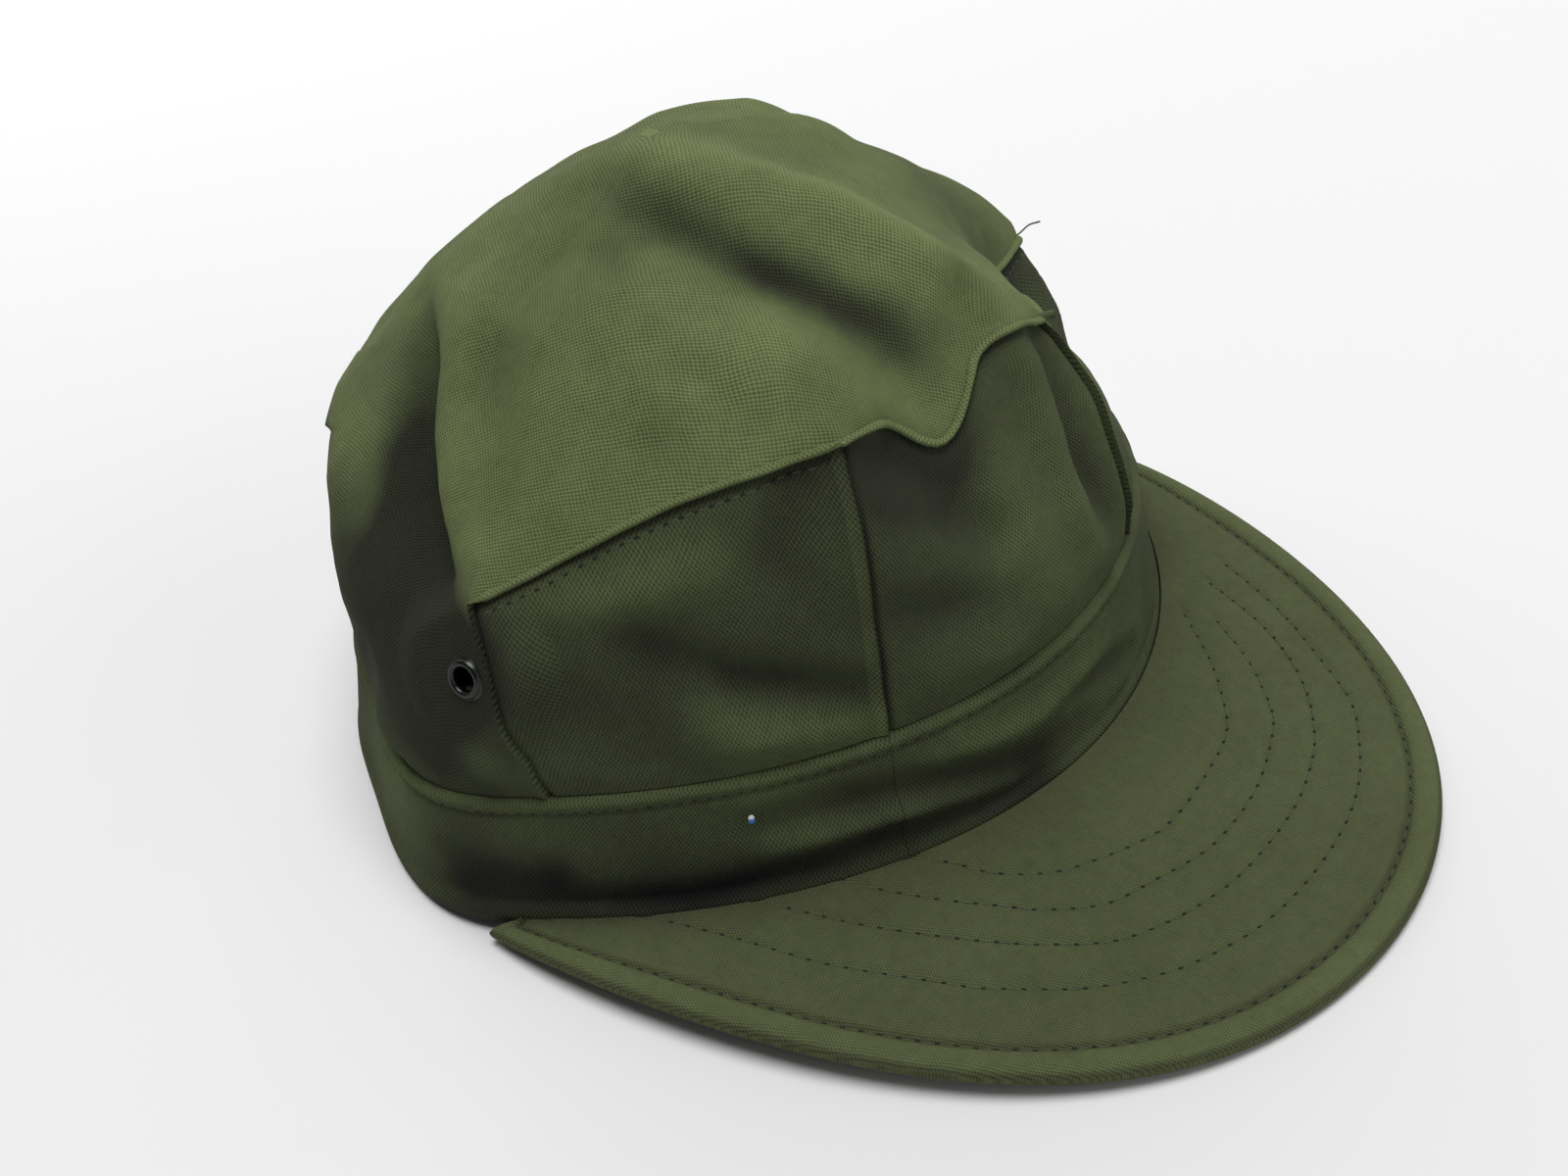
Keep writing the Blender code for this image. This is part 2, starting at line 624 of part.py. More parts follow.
def build_headband(cloth):
    """The headband, with a welt along its upper edge."""
    angles = column_angles()
    count = len(angles)
    welt = WELT_WIDTH / BAND_HEIGHT
    shares = (0.0, 0.2, 0.4, 0.6, 1.0 - 1.2 * welt, 1.0 - welt, 1.0 - 0.5 * welt, 1.0)
    proud = (0.0, 0.0, 0.0, 0.0, 0.0, -WELT_GROOVE, WELT_SWELL, -WELT_GROOVE / 2.0)
    outer, inner = [], []
    for share, out in zip(shares, proud):
        for angle in angles:
            low = rim_height(signed(angle))
            high = base_line(signed(angle)) + BAND_HEIGHT
            height = low + (high - low) * share
            lean = BAND_LEAN * share - out
            place = ring(angle, lean, height)
            fade = 1.0 - abs(2.0 * share - 1.0) ** 3
            lean -= fold_depth(place, BAND_FOLDS) * fade
            outer.append(ring(angle, lean, height))
            inner.append(ring(angle, lean + out + BAND_WALL, height))
    rows = len(shares)
    points = outer + inner
    shift = len(outer)
    faces = []
    for row in range(rows - 1):
        for column in range(count):
            after = (column + 1) % count
            a, b = row * count + column, row * count + after
            c, d = b + count, a + count
            faces.append((a, b, c, d))
            faces.append((shift + d, shift + c, shift + b, shift + a))
    for column in range(count):
        after = (column + 1) % count
        top = (rows - 1) * count
        faces.append((after, column, shift + column, shift + after))
        faces.append((top + column, top + after, shift + top + after, shift + top + column))
    return add_object("headband", points, faces, cloth)


def visor_outline(share):
    """The visor's outer edge in plan, for share -1 at one end to 1 at the other."""
    turn = math.radians(share * VISOR_OUTLINE_END_DEG)
    cosine = math.cos(turn)
    end = ring(VISOR_END_DEG, -VISOR_END_PROUD, 0.0)
    across = end[0] * math.sin(turn) * (1.0 + VISOR_FULLNESS * cosine ** 2) + VISOR_SKEW_ACROSS * cosine ** 2
    reach = BAND_HALF_LENGTH + VISOR_REACH + end[1]
    bow = (1.0 + VISOR_BLUNTNESS) * cosine ** VISOR_ROUNDNESS - VISOR_BLUNTNESS * cosine ** VISOR_BLUNT_POWER
    along = end[1] - reach * bow + VISOR_SKEW_ALONG * math.sin(2.0 * turn) * cosine
    return np.array((across, along))


def visor_edge_height(share):
    """Height of the underside at the visor's outer edge: down in front, up at the sides."""
    return VISOR_FLOOR_CLEARANCE + VISOR_SIDE_RISE * math.sin(math.pi * min(1.0, abs(share))) ** 2


def build_visor(cloth):
    """The visor: a stiff curved sheet with a rounded, hemmed outer edge."""
    top, bottom = [], []
    steps = VISOR_STEPS_ROUND
    columns = [2.0 * i / steps - 1.0 for i in range(steps + 1)]
    inner_rows = [i / VISOR_STEPS_OUT for i in range(VISOR_STEPS_OUT + 1)]
    for share in columns:
        deg = share * VISOR_END_DEG
        wall = visor_wall(deg)
        base = ring(deg, -GAP, base_line(deg) - GAP)
        edge_plan = visor_outline(share)
        edge = np.array((edge_plan[0], edge_plan[1], visor_edge_height(share) + wall))
        span = np.linalg.norm(edge[:2] - base[:2])
        hem = min(HEM_WIDTH, span * 0.4)
        shares = [s * (1.0 - hem * (1.0 + HEM_GROOVE_SHARE) / span) for s in inner_rows]
        shares += [1.0 - hem / span, 1.0 - hem * 0.6 / span, 1.0 - hem * 0.15 / span]
        drops = [0.0] * len(inner_rows) + [HEM_GROOVE, -HEM_SWELL, wall * VISOR_EDGE_ROUNDING]
        for along, drop in zip(shares, drops):
            point = base + (edge - base) * along
            top.append(point - np.array((0.0, 0.0, drop)))
        for along, drop in zip(shares, drops):
            point = base + (edge - base) * along
            lift = wall * VISOR_EDGE_ROUNDING if along > 1.0 - hem * 0.3 / span else 0.0
            bottom.append(point - np.array((0.0, 0.0, wall - lift)))
        top.append(edge - np.array((0.0, 0.0, wall * 0.5)))
    per = VISOR_STEPS_OUT + 5
    per_low = per - 1
    shift = len(top)
    faces = []
    for column in range(steps):
        for row in range(per - 1):
            a = column * per + row
            faces.append((a, a + 1, a + per + 1, a + per))
        for row in range(per_low - 1):
            a = shift + column * per_low + row
            faces.append((a + per_low, a + per_low + 1, a + 1, a))
        tip, low = column * per + per - 1, shift + column * per_low + per_low - 1
        faces.append((tip + per, tip, low, low + per_low))
        root, low_root = column * per, shift + column * per_low
        faces.append((root, root + per, low_root + per_low, low_root))
    for column in (0, steps):
        upper, lower = column * per, shift + column * per_low
        for row in range(per_low - 1):
            faces.append((upper + row, upper + row + 1, lower + row + 1, lower + row))
        faces.append((upper + per - 2, upper + per - 1, lower + per_low - 1))
    return add_object("visor", top + bottom, faces, cloth)


def centre_cap():
    """Moves every piece back, so that the origin is under the middle of the whole cap."""
    for item in bpy.context.scene.collection.objects:
        item.location.y += VISOR_REACH / 2.0


def clear_scene():
    """Removes every object of the scene."""
    for item in list(bpy.data.objects):
        bpy.data.objects.remove(item, do_unlink=True)


def main():
    clear_scene()
    cloth = material("olive_cotton", OLIVE, 0.85)
    top_cloth = material("olive_cotton_faded", OLIVE_TOP, 0.85)
    metal = material("gunmetal", GUNMETAL, 0.35, 0.9)
    build_crown(cloth, top_cloth)
    build_headband(cloth)
    build_visor(cloth)
    for side in (1.0, -1.0):
        build_eyelet(side, metal)
    centre_cap()


main()
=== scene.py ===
"""Looks of a cotton utility cap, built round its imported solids.

Metres, +Z up, the front of the cap along -Y, the wearer's right along -X.  The cloth is
made about the middle of the headband and moved back by half the visor's reach, as the
solids are.  Angles round the cap are in degrees from the front, positive to +X.
"""

import math

import bmesh
import bpy
import numpy as np
from mathutils import Matrix, Vector, noise
from mathutils.bvhtree import BVHTree


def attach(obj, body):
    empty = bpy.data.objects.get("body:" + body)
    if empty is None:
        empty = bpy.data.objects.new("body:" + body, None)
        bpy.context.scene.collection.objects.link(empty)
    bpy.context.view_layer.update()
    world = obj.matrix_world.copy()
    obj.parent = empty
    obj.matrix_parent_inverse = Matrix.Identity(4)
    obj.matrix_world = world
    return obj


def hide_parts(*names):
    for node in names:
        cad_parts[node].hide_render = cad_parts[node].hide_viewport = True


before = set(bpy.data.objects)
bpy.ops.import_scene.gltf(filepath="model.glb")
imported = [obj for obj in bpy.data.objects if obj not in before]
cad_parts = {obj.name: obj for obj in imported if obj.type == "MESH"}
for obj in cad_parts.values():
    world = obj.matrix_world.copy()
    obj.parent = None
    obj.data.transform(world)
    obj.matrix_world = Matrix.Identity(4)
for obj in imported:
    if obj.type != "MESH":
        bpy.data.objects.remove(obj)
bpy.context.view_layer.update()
MM = 0.001

# Headband, as in the solids
BAND_HALF_WIDTH = 0.1023
BAND_HALF_LENGTH = 0.0932
BAND_HEIGHT = 0.0274
BAND_LEAN = 0.0055
BAND_WALL = 0.0024
BAND_FLATTENING = 0.030
BAND_EGG = -0.018
RIM_FLAT_FROM_DEG = 115.0
RIM_RISE = 0.0103
RIM_RISE_POWER = 1.5

# Crown, as in the solids
CLOTH = 0.0016
GAP = 0.0003
CROWN_HALF_WIDTH = 0.0854
CROWN_HALF_LENGTH = 0.0854
CROWN_HEIGHT = 0.0740
CROWN_DOME_HEIGHT = 0.1270
CROWN_CENTRE_BACK = 0.0120
WALL_BULGE = 0.0035
SEAM_INSET = 0.0012
REAR_ROUNDING = 0.34
REAR_ROUNDING_RISE_DEG = 18.0
FOLD_SIZE = 0.010
DOME_POWER = 1.8
DOME_BLEND_DEG = 34.0
EDGE_SAG_FADE = 2.5

# Visor, as in the solids
VISOR_REACH = 0.0709
VISOR_WALL = 0.0034
VISOR_END_WALL = 0.0022
VISOR_END_DEG = 79.0
VISOR_OUTLINE_END_DEG = 88.0
VISOR_END_PROUD = 0.0044
VISOR_FULLNESS = 0.58
VISOR_ROUNDNESS = 3.13
VISOR_BLUNTNESS = 0.215
VISOR_SKEW_ACROSS = -0.0022
VISOR_SKEW_ALONG = -0.0023
VISOR_FLOOR_CLEARANCE = 0.0002
VISOR_SIDE_RISE = 0.0046
VISOR_BASE_FADE_DEG = 20.0
VISOR_END_CLOSING = 0.12
VISOR_SEEN_SHARE = 0.93
HEM_WIDTH = 0.0065

# Eyelets, as in the solids
EYELET_DEG = 74.0
EYELET_LEVEL = 0.63
EYELET_BORE_RADIUS = 0.0025
EYELET_FLAT_CLOTH = 0.0130
EYELET_FLAT_FADE = 0.0070
LEFT_EYELET_SINK = 0.0060

SHIFT = np.array((0.0, VISOR_REACH / 2.0, 0.0))
LEVEL = np.array((1.0, 1.0, 0.0))
DOWN = np.array((0.0, 0.0, -1.0))
PANELS = ("front_panel", "side_panel_left", "side_panel_right")

# Steps of the meshes, and how strongly they crowd at the seams
PANEL_STEPS = 60
REAR_STEPS = 264
WALL_STEPS = 42
TOP_STEPS = 62
VISOR_STEPS_ROUND = 260
VISOR_STEPS_OUT = 84
VISOR_STEPS_UNDER = 12
BAND_STEPS_INSIDE = 7
PANEL_CROWDING = 0.75
REAR_CROWDING = 0.45
WALL_CROWDING = 0.6
TOP_CROWDING = 1.45

# Length on the cap of one degree round it, and of one unit of the cloth's map
ARC_PER_DEG = 0.0016
MAP_UNIT = 0.01

#  seam_deg, across, along, up
CORNERS = (
    (25.1, 0.369, -0.760, 1.337),
    (69.0, 1.000, -0.187, 1.004),
    (103.0, 0.960, 0.300, 1.020),
    (131.0, 0.750, 0.720, 1.020),
    (157.0, 0.380, 1.000, 0.960),
    (180.0, 0.000, 1.060, 0.930),
)
#  deg, width_deg, down, out
EDGE_SAGS = (
    (-9.0, 5.5, 0.64, 0.28),
    (-3.0, 7.0, 0.62, 0.28),
    (-19.0, 5.0, -0.10, 0.25),
    (26.0, 9.0, 0.55, -0.18),
    (47.0, 13.0, 0.55, -0.70),
    (-45.0, 13.0, -0.28, 0.00),
)
#  deg, width_deg, out
BAND_BULGES = (
    (-83.0, 13.0, 0.34),
    (-111.0, 14.0, -0.30),
)
FRONT_SEAM_DEG = CORNERS[0][0]
SIDE_SEAM_DEG = CORNERS[1][0]

# Folds, most of them as in the solids: width as a share of FOLD_SIZE, and points along the
# fold (across, along, up, depth) in percent of the crown's size and of FOLD_SIZE
MAIN_FOLDS = (
    (0.65, ((30, -75, 79, 20), (23, -65, 85, 40), (16, -52, 89, 52), (9, -36, 94, 50), (0, -15, 98, 35),
            (-7, 12, 99, 10))),
    (0.75, ((-8, -72, 75, -20), (-8, -60, 81, -50), (-13, -46, 86, -75), (-17, -30, 89, -80),
            (-19, -6, 94, -60), (-20, 12, 96, -25))),
    (0.6, ((7, -71, 79, -30), (18, -67, 83, -25))),
    (0.9, ((-43, -15, 90, 25), (-52, -34, 83, 30))),
    (0.9, ((-34, -50, 86, 35), (-44, -43, 84, 20))),
    (0.45, ((-48, -30, 86, -12), (-44, -42, 83, -25), (-44, -50, 80, -10))),
    (0.9, ((-30, 0, 93, -25), (-42, 12, 89, -18))),
    (0.9, ((-64, 8, 82, -28), (-72, -6, 77, -18))),
    (1.0, ((-56, 24, 83, 25), (-50, 42, 83, 15))),
    (2.2, ((40, 16, 94, 34), (54, 32, 86, 40))),
    (0.58, ((-53, 47, 80, -20), (-61, 39, 78, -50), (-68, 31, 74, -105), (-80, 22, 67, -135),
            (-88, 14, 63, -135), (-95, 4, 59, -115), (-101, -6, 55, -75), (-104, -15, 50, -25))),
    (0.5, ((-67, 18, 82, 15), (-81, 8, 75, 30), (-89, 0, 71, 32), (-95, -10, 67, 22),
           (-100, -19, 62, 8))),
    (1.2, ((-50, 76, 68, -15), (-68, 73, 61, 12), (-78, 70, 53, -12), (-88, 64, 47, -32),
           (-96, 52, 36, -10))),
    (1.2, ((4, 36, 98, -38), (20, 28, 98, -25))),
    (0.9, ((28, 40, 91, 12), (42, 27, 91, 26))),
    (0.8, ((44, 10, 93, -12), (54, 0, 88, -12))),
    (0.8, ((-72, 60, 64, 12), (-84, 46, 60, 28), (-93, 36, 53, 28), (-100, 28, 45, 15))),
    (0.5, ((-100, 42, 27, 10), (-112, 12, 27, 20), (-112, -6, 27, 15))),
    (0.45, ((-104, -6, 56, 20), (-108, -15, 42, 25), (-108, -24, 33, 20))),
    (0.6, ((-92, -30, 58, 12), (-82, -43, 58, 26), (-66, -57, 62, 22))),
    (0.7, ((-78, -64, 37, 15), (-68, -76, 34, 28), (-48, -91, 29, 20))),
    (0.55, ((-82, -50, 53, -20), (-71, -69, 45, -42), (-52, -86, 40, -28))),
    (1.1, ((-99, -38, 42, -30), (-90, -52, 40, -15))),
    (0.5, ((-47, -70, 72, -25), (-53, -69, 62, -25), (-50, -78, 52, -10))),
    (0.7, ((-28, -80, 73, -60), (-20, -86, 66, -35), (-10, -90, 60, -12))),
    (0.5, ((-16, -89, 60, -15), (-10, -94, 56, -28), (-1, -96, 56, -10))),
    (0.6, ((-40, -89, 52, -15), (-28, -95, 49, -26), (-14, -99, 45, -10))),
    (0.45, ((30, -78, 73, -20), (27, -88, 55, -40), (36, -95, 38, -15))),
    (0.5, ((20, -80, 71, 25), (17, -92, 52, 30), (26, -97, 38, 10))),
    (0.4, ((38, -79, 70, 10), (44, -85, 54, 15), (47, -90, 40, 10))),
    (2.0, ((0, -90, 55, 25), (-12, -96, 42, 20))),
    (1.5, ((66, -56, 70, -35), (80, -40, 62, -60), (92, -34, 46, -30))),
    (1.4, ((103, -25, 51, -22), (104, -31, 47, -80), (104, -36, 36, -20))),
    (1.1, ((-98, 56, 32, -18), (-106, 30, 32, -22))),
)
BAND_FOLDS = (
    (0.32, ((-76, -74, 21.5, -20), (-55, -89, 22.5, -30), (-34, -99, 20.5, -32), (-14, -105, 16.5, -30),
            (6, -108, 15, -15))),
    (0.3, ((-2, -107, 22, -10), (16, -106, 20, -25), (34, -102, 15.5, -20))),
    (0.34, ((-119, -14, 7, -25), (-90, -65, 8.5, -35), (-52, -93, 14, -30), (-14, -107, 11, -20))),
    (0.28, ((-74, -78, 16.5, 12), (-48, -94, 17.5, 22), (-20, -104, 13.5, 12))),
    (0.34, ((-40, -98, 25, 8), (-13, -105, 23.5, 20), (16, -105, 23.5, 8))),
    (0.45, ((-117, -14, 12, -20), (-110, -38, 12, -25))),
)
# Painted light and shade, with some fading: where the cloth is paler or darker than its surroundings, in the
# same form
FADING_AND_PAINTED_LIGHT = (
    (1.6, ((54, -23, 80, -45), (75, -24, 67, -45))),
    (0.5, ((40, -80, 70, 25), (47, -89, 42, 25))),
    (0.75, ((-60, 42, 78, -40), (-69, 31, 74, -100), (-80, 24, 67, -145), (-93, 12, 58, -150),
            (-102, 0, 51, -150), (-108, -14, 43, -130))),
    (1.6, ((-98, 20, 50, -45), (-105, 0, 40, -60))),
    (0.9, ((-101, -4, 55, -100), (-104, -15, 49, -120))),
    (1.3, ((2, -92, 53, 25), (12, -93, 46, 25))),
    (0.8, ((-27, -82, 71, -90), (-12, -86, 70, -60))),
    (1.6, ((60, -68, 60, 50), (85, -45, 55, 60), (95, -30, 50, 60))),
    (0.4, ((-7, 14, 99, 10), (0, -16, 98, 25), (12, -37, 94, 32), (17, -50, 90, 20))),
    (0.8, ((-36, -88, 53, -6), (-20, -95, 48, -6))),
    (0.7, ((-28, -80, 74, -30), (-14, -91, 57, -20))),
    (0.8, ((-78, -51, 57, -5), (-52, -85, 41, 2))),
    (0.6, ((-90, -33, 58, 15), (-82, -43, 60, 25), (-64, -58, 63, 25))),
    (0.6, ((-75, -69, 41, 25), (-49, -89, 33, 25))),
    (0.55, ((-15, 6, 96, -30), (-15, -11, 93, -80), (-13, -35, 88.5, -95), (-7, -49, 85, -95),
            (-2, -59, 81.5, -80), (-2, -70, 76, -45))),
    (0.45, ((21, -62, 84, -45), (20, -71, 79, -45))),
    (1.0, ((-66, 52, 69, -30), (-80, 42, 62, -20), (-95, 34, 50, 20))),
    (0.45, ((-49, -36, 84.5, -30), (-30, -2, 93, -25))),
    (0.45, ((-40, -19, 91, 20), (-50, -38, 83, 25), (-34, -53, 85, 20))),
)
BAND_PAINTED_LIGHT = (
    (0.9, ((-119, -19, 8, -40), (-90, -66, 9, -45), (-52, -93, 14, -30), (-14, -107, 12, -30))),
    (1.2, ((-118, 10, 17, 50), (-116, 30, 15, 50))),
    (0.8, ((-30, -100, 26, 12), (5, -107, 20, 15), (40, -100, 20, 15))),
    (0.6, ((-74, -75, 26, 20), (-64, -85, 17, 20))),
)
# Share of the fold depth that paints shade in the creases and pales the crests as wear
FOLD_WEAR_AND_PAINTED_SHADE = 0.70
FRESH_FROM = 0.08
# Lowest mix of the cloth's colours; below 0 the cloth is painted darker than fresh, as painted shade
DARKEST = -0.25
LIP_WEAR = 1.1
VISOR_SHADE_REACH = 0.014

# Wrinkles, in millimetres, and mottling, in shares of the wear and painted light: size in metres, seed,
# strength
CROWN_WRINKLES = ((0.030, 3.0, 1.1), (0.012, 9.0, 0.40), (0.006, 61.0, 0.10))
BAND_WRINKLES = ((0.016, 5.0, 0.25),)
BAND_PUCKER = ((0.0045, 33.0, 0.18),)
TOP_MOTTLE = ((0.020, 15.0, 0.15), (0.008, 21.0, 0.09))
PANEL_MOTTLE = ((0.014, 27.0, 0.06),)
BAND_MOTTLE = ((0.012, 41.0, 0.07),)
VISOR_MOTTLE = ((0.012, 51.0, 0.06),)
WRINKLE_GAIN = 1.6
FOLDS_FREE_FROM = 0.12
FOLD_AXIS_HEIGHT = 0.055
PUCKER_REACH = 0.005
DEEPEST_IN_BAND = 0.62 * BAND_WALL

# Laps and grooves at the seams, and the lip along the crown's sewn edge
LAP_RISE = 0.00075
LAP_WIDTH = 0.0019
GROOVE_DEPTH = 0.00090
GROOVE_WIDTH = 0.0013
BELOW_LIP_DEPTH = 0.001
BELOW_LIP_SHARE = 0.045
LIP_HALF_HEIGHT = 0.00090
LIP_HALF_WIDTH = 0.00062
LIP_PROUD = 0.0002
LIP_TAPER = 0.004
LIP_SIDES = 10
APEX_RISE = 0.0001

# Profiles in millimetres.  Headband: rise, distance from an edge, width
BAND_TOP_PROFILE = ((0.50, 1.3, 1.1), (-0.55, 3.1, 0.6), (-0.8, 0.0, 0.45))
BAND_FOOT_PROFILE = ((0.45, 2.0, 1.5), (-0.35, 4.6, 0.6))
#  headband's rows: first and last share of its height, and how many
BAND_ROWS = ((0.0, 0.16, 9), (0.18, 0.78, 18), (0.80, 1.0, 15))
#  hem: distance from the visor's edge as a share of the hem, rise
HEM_PROFILE = ((1.18, -0.10), (1.08, -0.40), (1.0, -0.62), (0.93, -0.38), (0.86, 0.05), (0.74, 0.42),
               (0.55, 0.62), (0.36, 0.50), (0.2, 0.12), (0.1, -0.35), (0.04, -0.8))
#  visor's edge: the same distance, drop as a share of the visor's thickness
EDGE_PROFILE = ((0.0, 0.40), (0.0, 0.62), (0.05, 0.85), (0.16, 1.0), (0.5, 1.0), (1.0, 1.0))
FLAT_END = 1.25
#  eyelet: radius, height
EYELET_PROFILE = ((2.50, -2.6), (2.50, 0.1), (2.62, 0.62), (2.92, 0.95), (3.30, 1.02), (3.70, 0.85),
                  (3.98, 0.50), (4.10, 0.10), (4.55, 0.02), (4.60, -0.15), (2.9, -0.15), (2.9, -2.1),
                  (4.1, -2.15), (4.2, -2.5))
EYELET_SIDES = 48

# Stitch rows on the visor: across and along the cap, in millimetres from the band's middle
VISOR_ROWS = (
    ((-42.9, -83.0), (-38.1, -90.1), (-34.8, -98.4), (-25.3, -108.4), (-3.4, -116.8), (22.7, -112.9),
     (32.1, -107.9), (44.0, -96.0), (56.3, -79.2)),
    ((-55.0, -76.5), (-52.5, -81.7), (-46.8, -93.7), (-40.9, -103.1), (-35.3, -111.6), (-26.3, -119.5),
     (-15.3, -123.0), (-0.7, -126.4), (18.1, -124.4), (35.9, -117.2), (42.7, -110.8), (49.9, -101.7),
     (58.0, -87.0)),
    ((-68.6, -64.5), (-61.5, -83.7), (-55.6, -95.5), (-50.5, -104.4), (-44.3, -113.3), (-37.3, -121.5),
     (-30.8, -126.9), (-19.0, -131.7), (-4.9, -134.4), (11.2, -133.9), (23.7, -131.7), (38.4, -125.6),
     (52.0, -114.0), (62.0, -98.0), (69.0, -76.0)),
    ((-84.5, -47.0), (-78.1, -66.5), (-71.4, -87.1), (-60.4, -108.3), (-57.7, -113.0), (-44.9, -128.0),
     (-29.6, -138.5), (-11.6, -144.1), (5.9, -144.8), (22.3, -142.6), (34.1, -138.6), (43.9, -132.8),
     (52.7, -125.9), (60.6, -113.7), (70.0, -96.0), (78.0, -74.0)),
)
HEM_GROOVE_ROW = 2
VISOR_PITCH = 0.0038
HEM_PITCH = 0.0036
WELT_PITCH = 0.0030
WELT_HEIGHT = 0.0031
ROW_DIMPLE = 0.00042
ROW_DIMPLE_WIDTH = 0.0009
THREAD_RADIUS = 0.00020
HOLE_RADIUS = 0.00042
STITCH_SHARE = 0.155

# Trim: points in millimetres from a corner of the crown, and a place on the headband
LOOSE_THREAD = ((-1.0, 0.6, -0.8), (0.9, -0.9, 1.0), (3.0, -1.7, 2.1), (5.2, -3.2, 2.4))
SEAM_END = ((-1.5, 0.8, 0.2), (0.6, -0.6, 0.4), (1.7, -1.7, 0.6))
SEAM_END_RADIUS = 0.00085
FLECK_PLACE = (-0.0649, -0.0633, 0.0278)
FLECK_SIZE = (0.0008, 0.0007, 0.00025)

# Colours of the cloth between its threads and on them, where it is fresh and where it is worn; the worn end
# is also the colour of painted highlights, and mixes below fresh paint shade
FRESH = ((0.0146, 0.0171, 0.0093), (0.0535, 0.0620, 0.0318))
WORN_AND_HIGHLIGHT = ((0.0345, 0.0437, 0.0172), (0.1440, 0.1730, 0.0730))
VISOR_FRESH = ((0.0322, 0.0385, 0.0172), (0.0990, 0.1140, 0.0528))
VISOR_HIGHLIGHT_AND_MOTTLE = ((0.0560, 0.0690, 0.0280), (0.1600, 0.1870, 0.0800))
GUNMETAL = ((0.012, 0.014, 0.012), (0.060, 0.066, 0.060))
FLOOR_COLOUR = (0.722, 0.720, 0.724)
#  scale and detail of the specks in the cloth, the first of them also raised
SPECKS = ((900.0, 2.0), (330.0, 1.0), (26.0, 3.0))
SPECK_SHARE = 0.30
TINT_OFFSET = 0.20
#  width and length of one grain of the weave, in millimetres
WEAVE = (0.90, 1.20)
VISOR_WEAVE = (0.62, 1.10)
#  places of a Mix node's colours among its inputs and outputs
MIX_A = 6
MIX_B = 7
MIX_RESULT = 2

# Soft lights: name, place, power
LIGHTS = (
    ("front_light", (0.2, -1.2, 0.6), 3.2),
    ("right_front_light", (0.9, -0.75, 0.6), 2.6),
    ("right_rear_light", (0.8, 0.9, 0.7), 3.9),
    ("rear_light", (0.1, 1.2, 0.7), 4.8),
)
LIGHT_SIZE = 0.9
LIGHT_TARGET = Vector((0.0, 0.0, 0.03))
FLOOR_SIZE = 12.0


def wrap(deg):
    """The same angles between -180 and 180."""
    return (np.asarray(deg, float) + 180.0) % 360.0 - 180.0


def unit(vectors):
    """The same directions at length 1."""
    return vectors / np.linalg.norm(vectors, axis=-1, keepdims=True)


def hump(offset, width):
    """1 where the offset is 0, falling smoothly on both sides."""
    return np.exp(-(offset / width) ** 2)


def run_along(line):
    """Distance along a line of points from its start."""
    return np.concatenate(([0.0], np.cumsum(np.linalg.norm(np.diff(line, axis=0), axis=1))))


def to_segment(points, start, end):
    """Where on a segment each point is nearest, as a share, and how far away it is."""
    span = end - start
    share = np.clip((points - start) @ span / (span @ span), 0.0, 1.0)
    return share, np.linalg.norm(points - start - share[:, None] * span, axis=1)


def round_faces(rows, flip=False):
    """Quads between neighbouring rows of points that go all the way round."""
    after = np.roll(rows, -1, 1)
    order = (rows[:-1], after[:-1], after[1:], rows[1:])
    return np.stack(order[::-1] if flip else order, axis=-1).reshape(-1, 4)


def tube_faces(rings, sides):
    """Faces of a tube of point rings, closed at both ends."""
    faces = []
    for ring_start in range(0, (rings - 1) * sides, sides):
        for k in range(sides):
            here, after = ring_start + k, ring_start + (k + 1) % sides
            faces.append((here, after, after + sides, here + sides))
    faces.append(tuple(range(sides))[::-1])
    faces.append(tuple(range((rings - 1) * sides, rings * sides)))
    return faces


def ring(deg, inward, height):
    """Points of the headband's outline, set inward by a distance."""
    angle = np.radians(deg)
    flat = 1.0 - BAND_FLATTENING * (1.0 - np.cos(4.0 * angle)) / 2.0
    egg = 1.0 + BAND_EGG * np.cos(angle)
    out = sum(FOLD_SIZE * share * hump(wrap(deg - at), width) for at, width, share in BAND_BULGES)
    across = (BAND_HALF_WIDTH - inward) * np.sin(angle) * egg * flat + out * np.sin(angle)
    along = -(BAND_HALF_LENGTH - inward) * np.cos(angle) * flat - out * np.cos(angle)
    return np.stack((across, along, np.broadcast_to(height, np.shape(across))), axis=-1)


def rim_height(deg):
    """Height of the headband's lower edge."""
    flat = math.cos(math.radians(RIM_FLAT_FROM_DEG))
    share = np.clip((np.cos(np.radians(deg)) - flat) / (1.0 - flat), 0.0, None)
    return RIM_RISE * share ** RIM_RISE_POWER


def visor_wall(deg):
    """Thickness of the visor."""
    share = np.minimum(1.0, np.abs(deg) / VISOR_END_DEG)
    return VISOR_WALL + (VISOR_END_WALL - VISOR_WALL) * share ** 2


def base_line(deg):
    """Height at which the visor's upper face meets the headband."""
    past = np.clip((np.abs(deg) - VISOR_END_DEG) / VISOR_BASE_FADE_DEG, 0.0, 1.0)
    return rim_height(deg) + visor_wall(deg) * (1.0 - past)


def corner_point(row):
    """A corner of the crown on the +X side."""
    return np.array((row[1] * CROWN_HALF_WIDTH, row[2] * CROWN_HALF_LENGTH, row[3] * CROWN_HEIGHT))


def catmull(before, start, end, after, share):
    """A smooth curve from start to end."""
    second = (end - before) * share
    third = (2.0 * before - 5.0 * start + 4.0 * end - after) * share ** 2
    fourth = (3.0 * start - before - 3.0 * end + after) * share ** 3
    return (2.0 * start + second + third + fourth) / 2.0


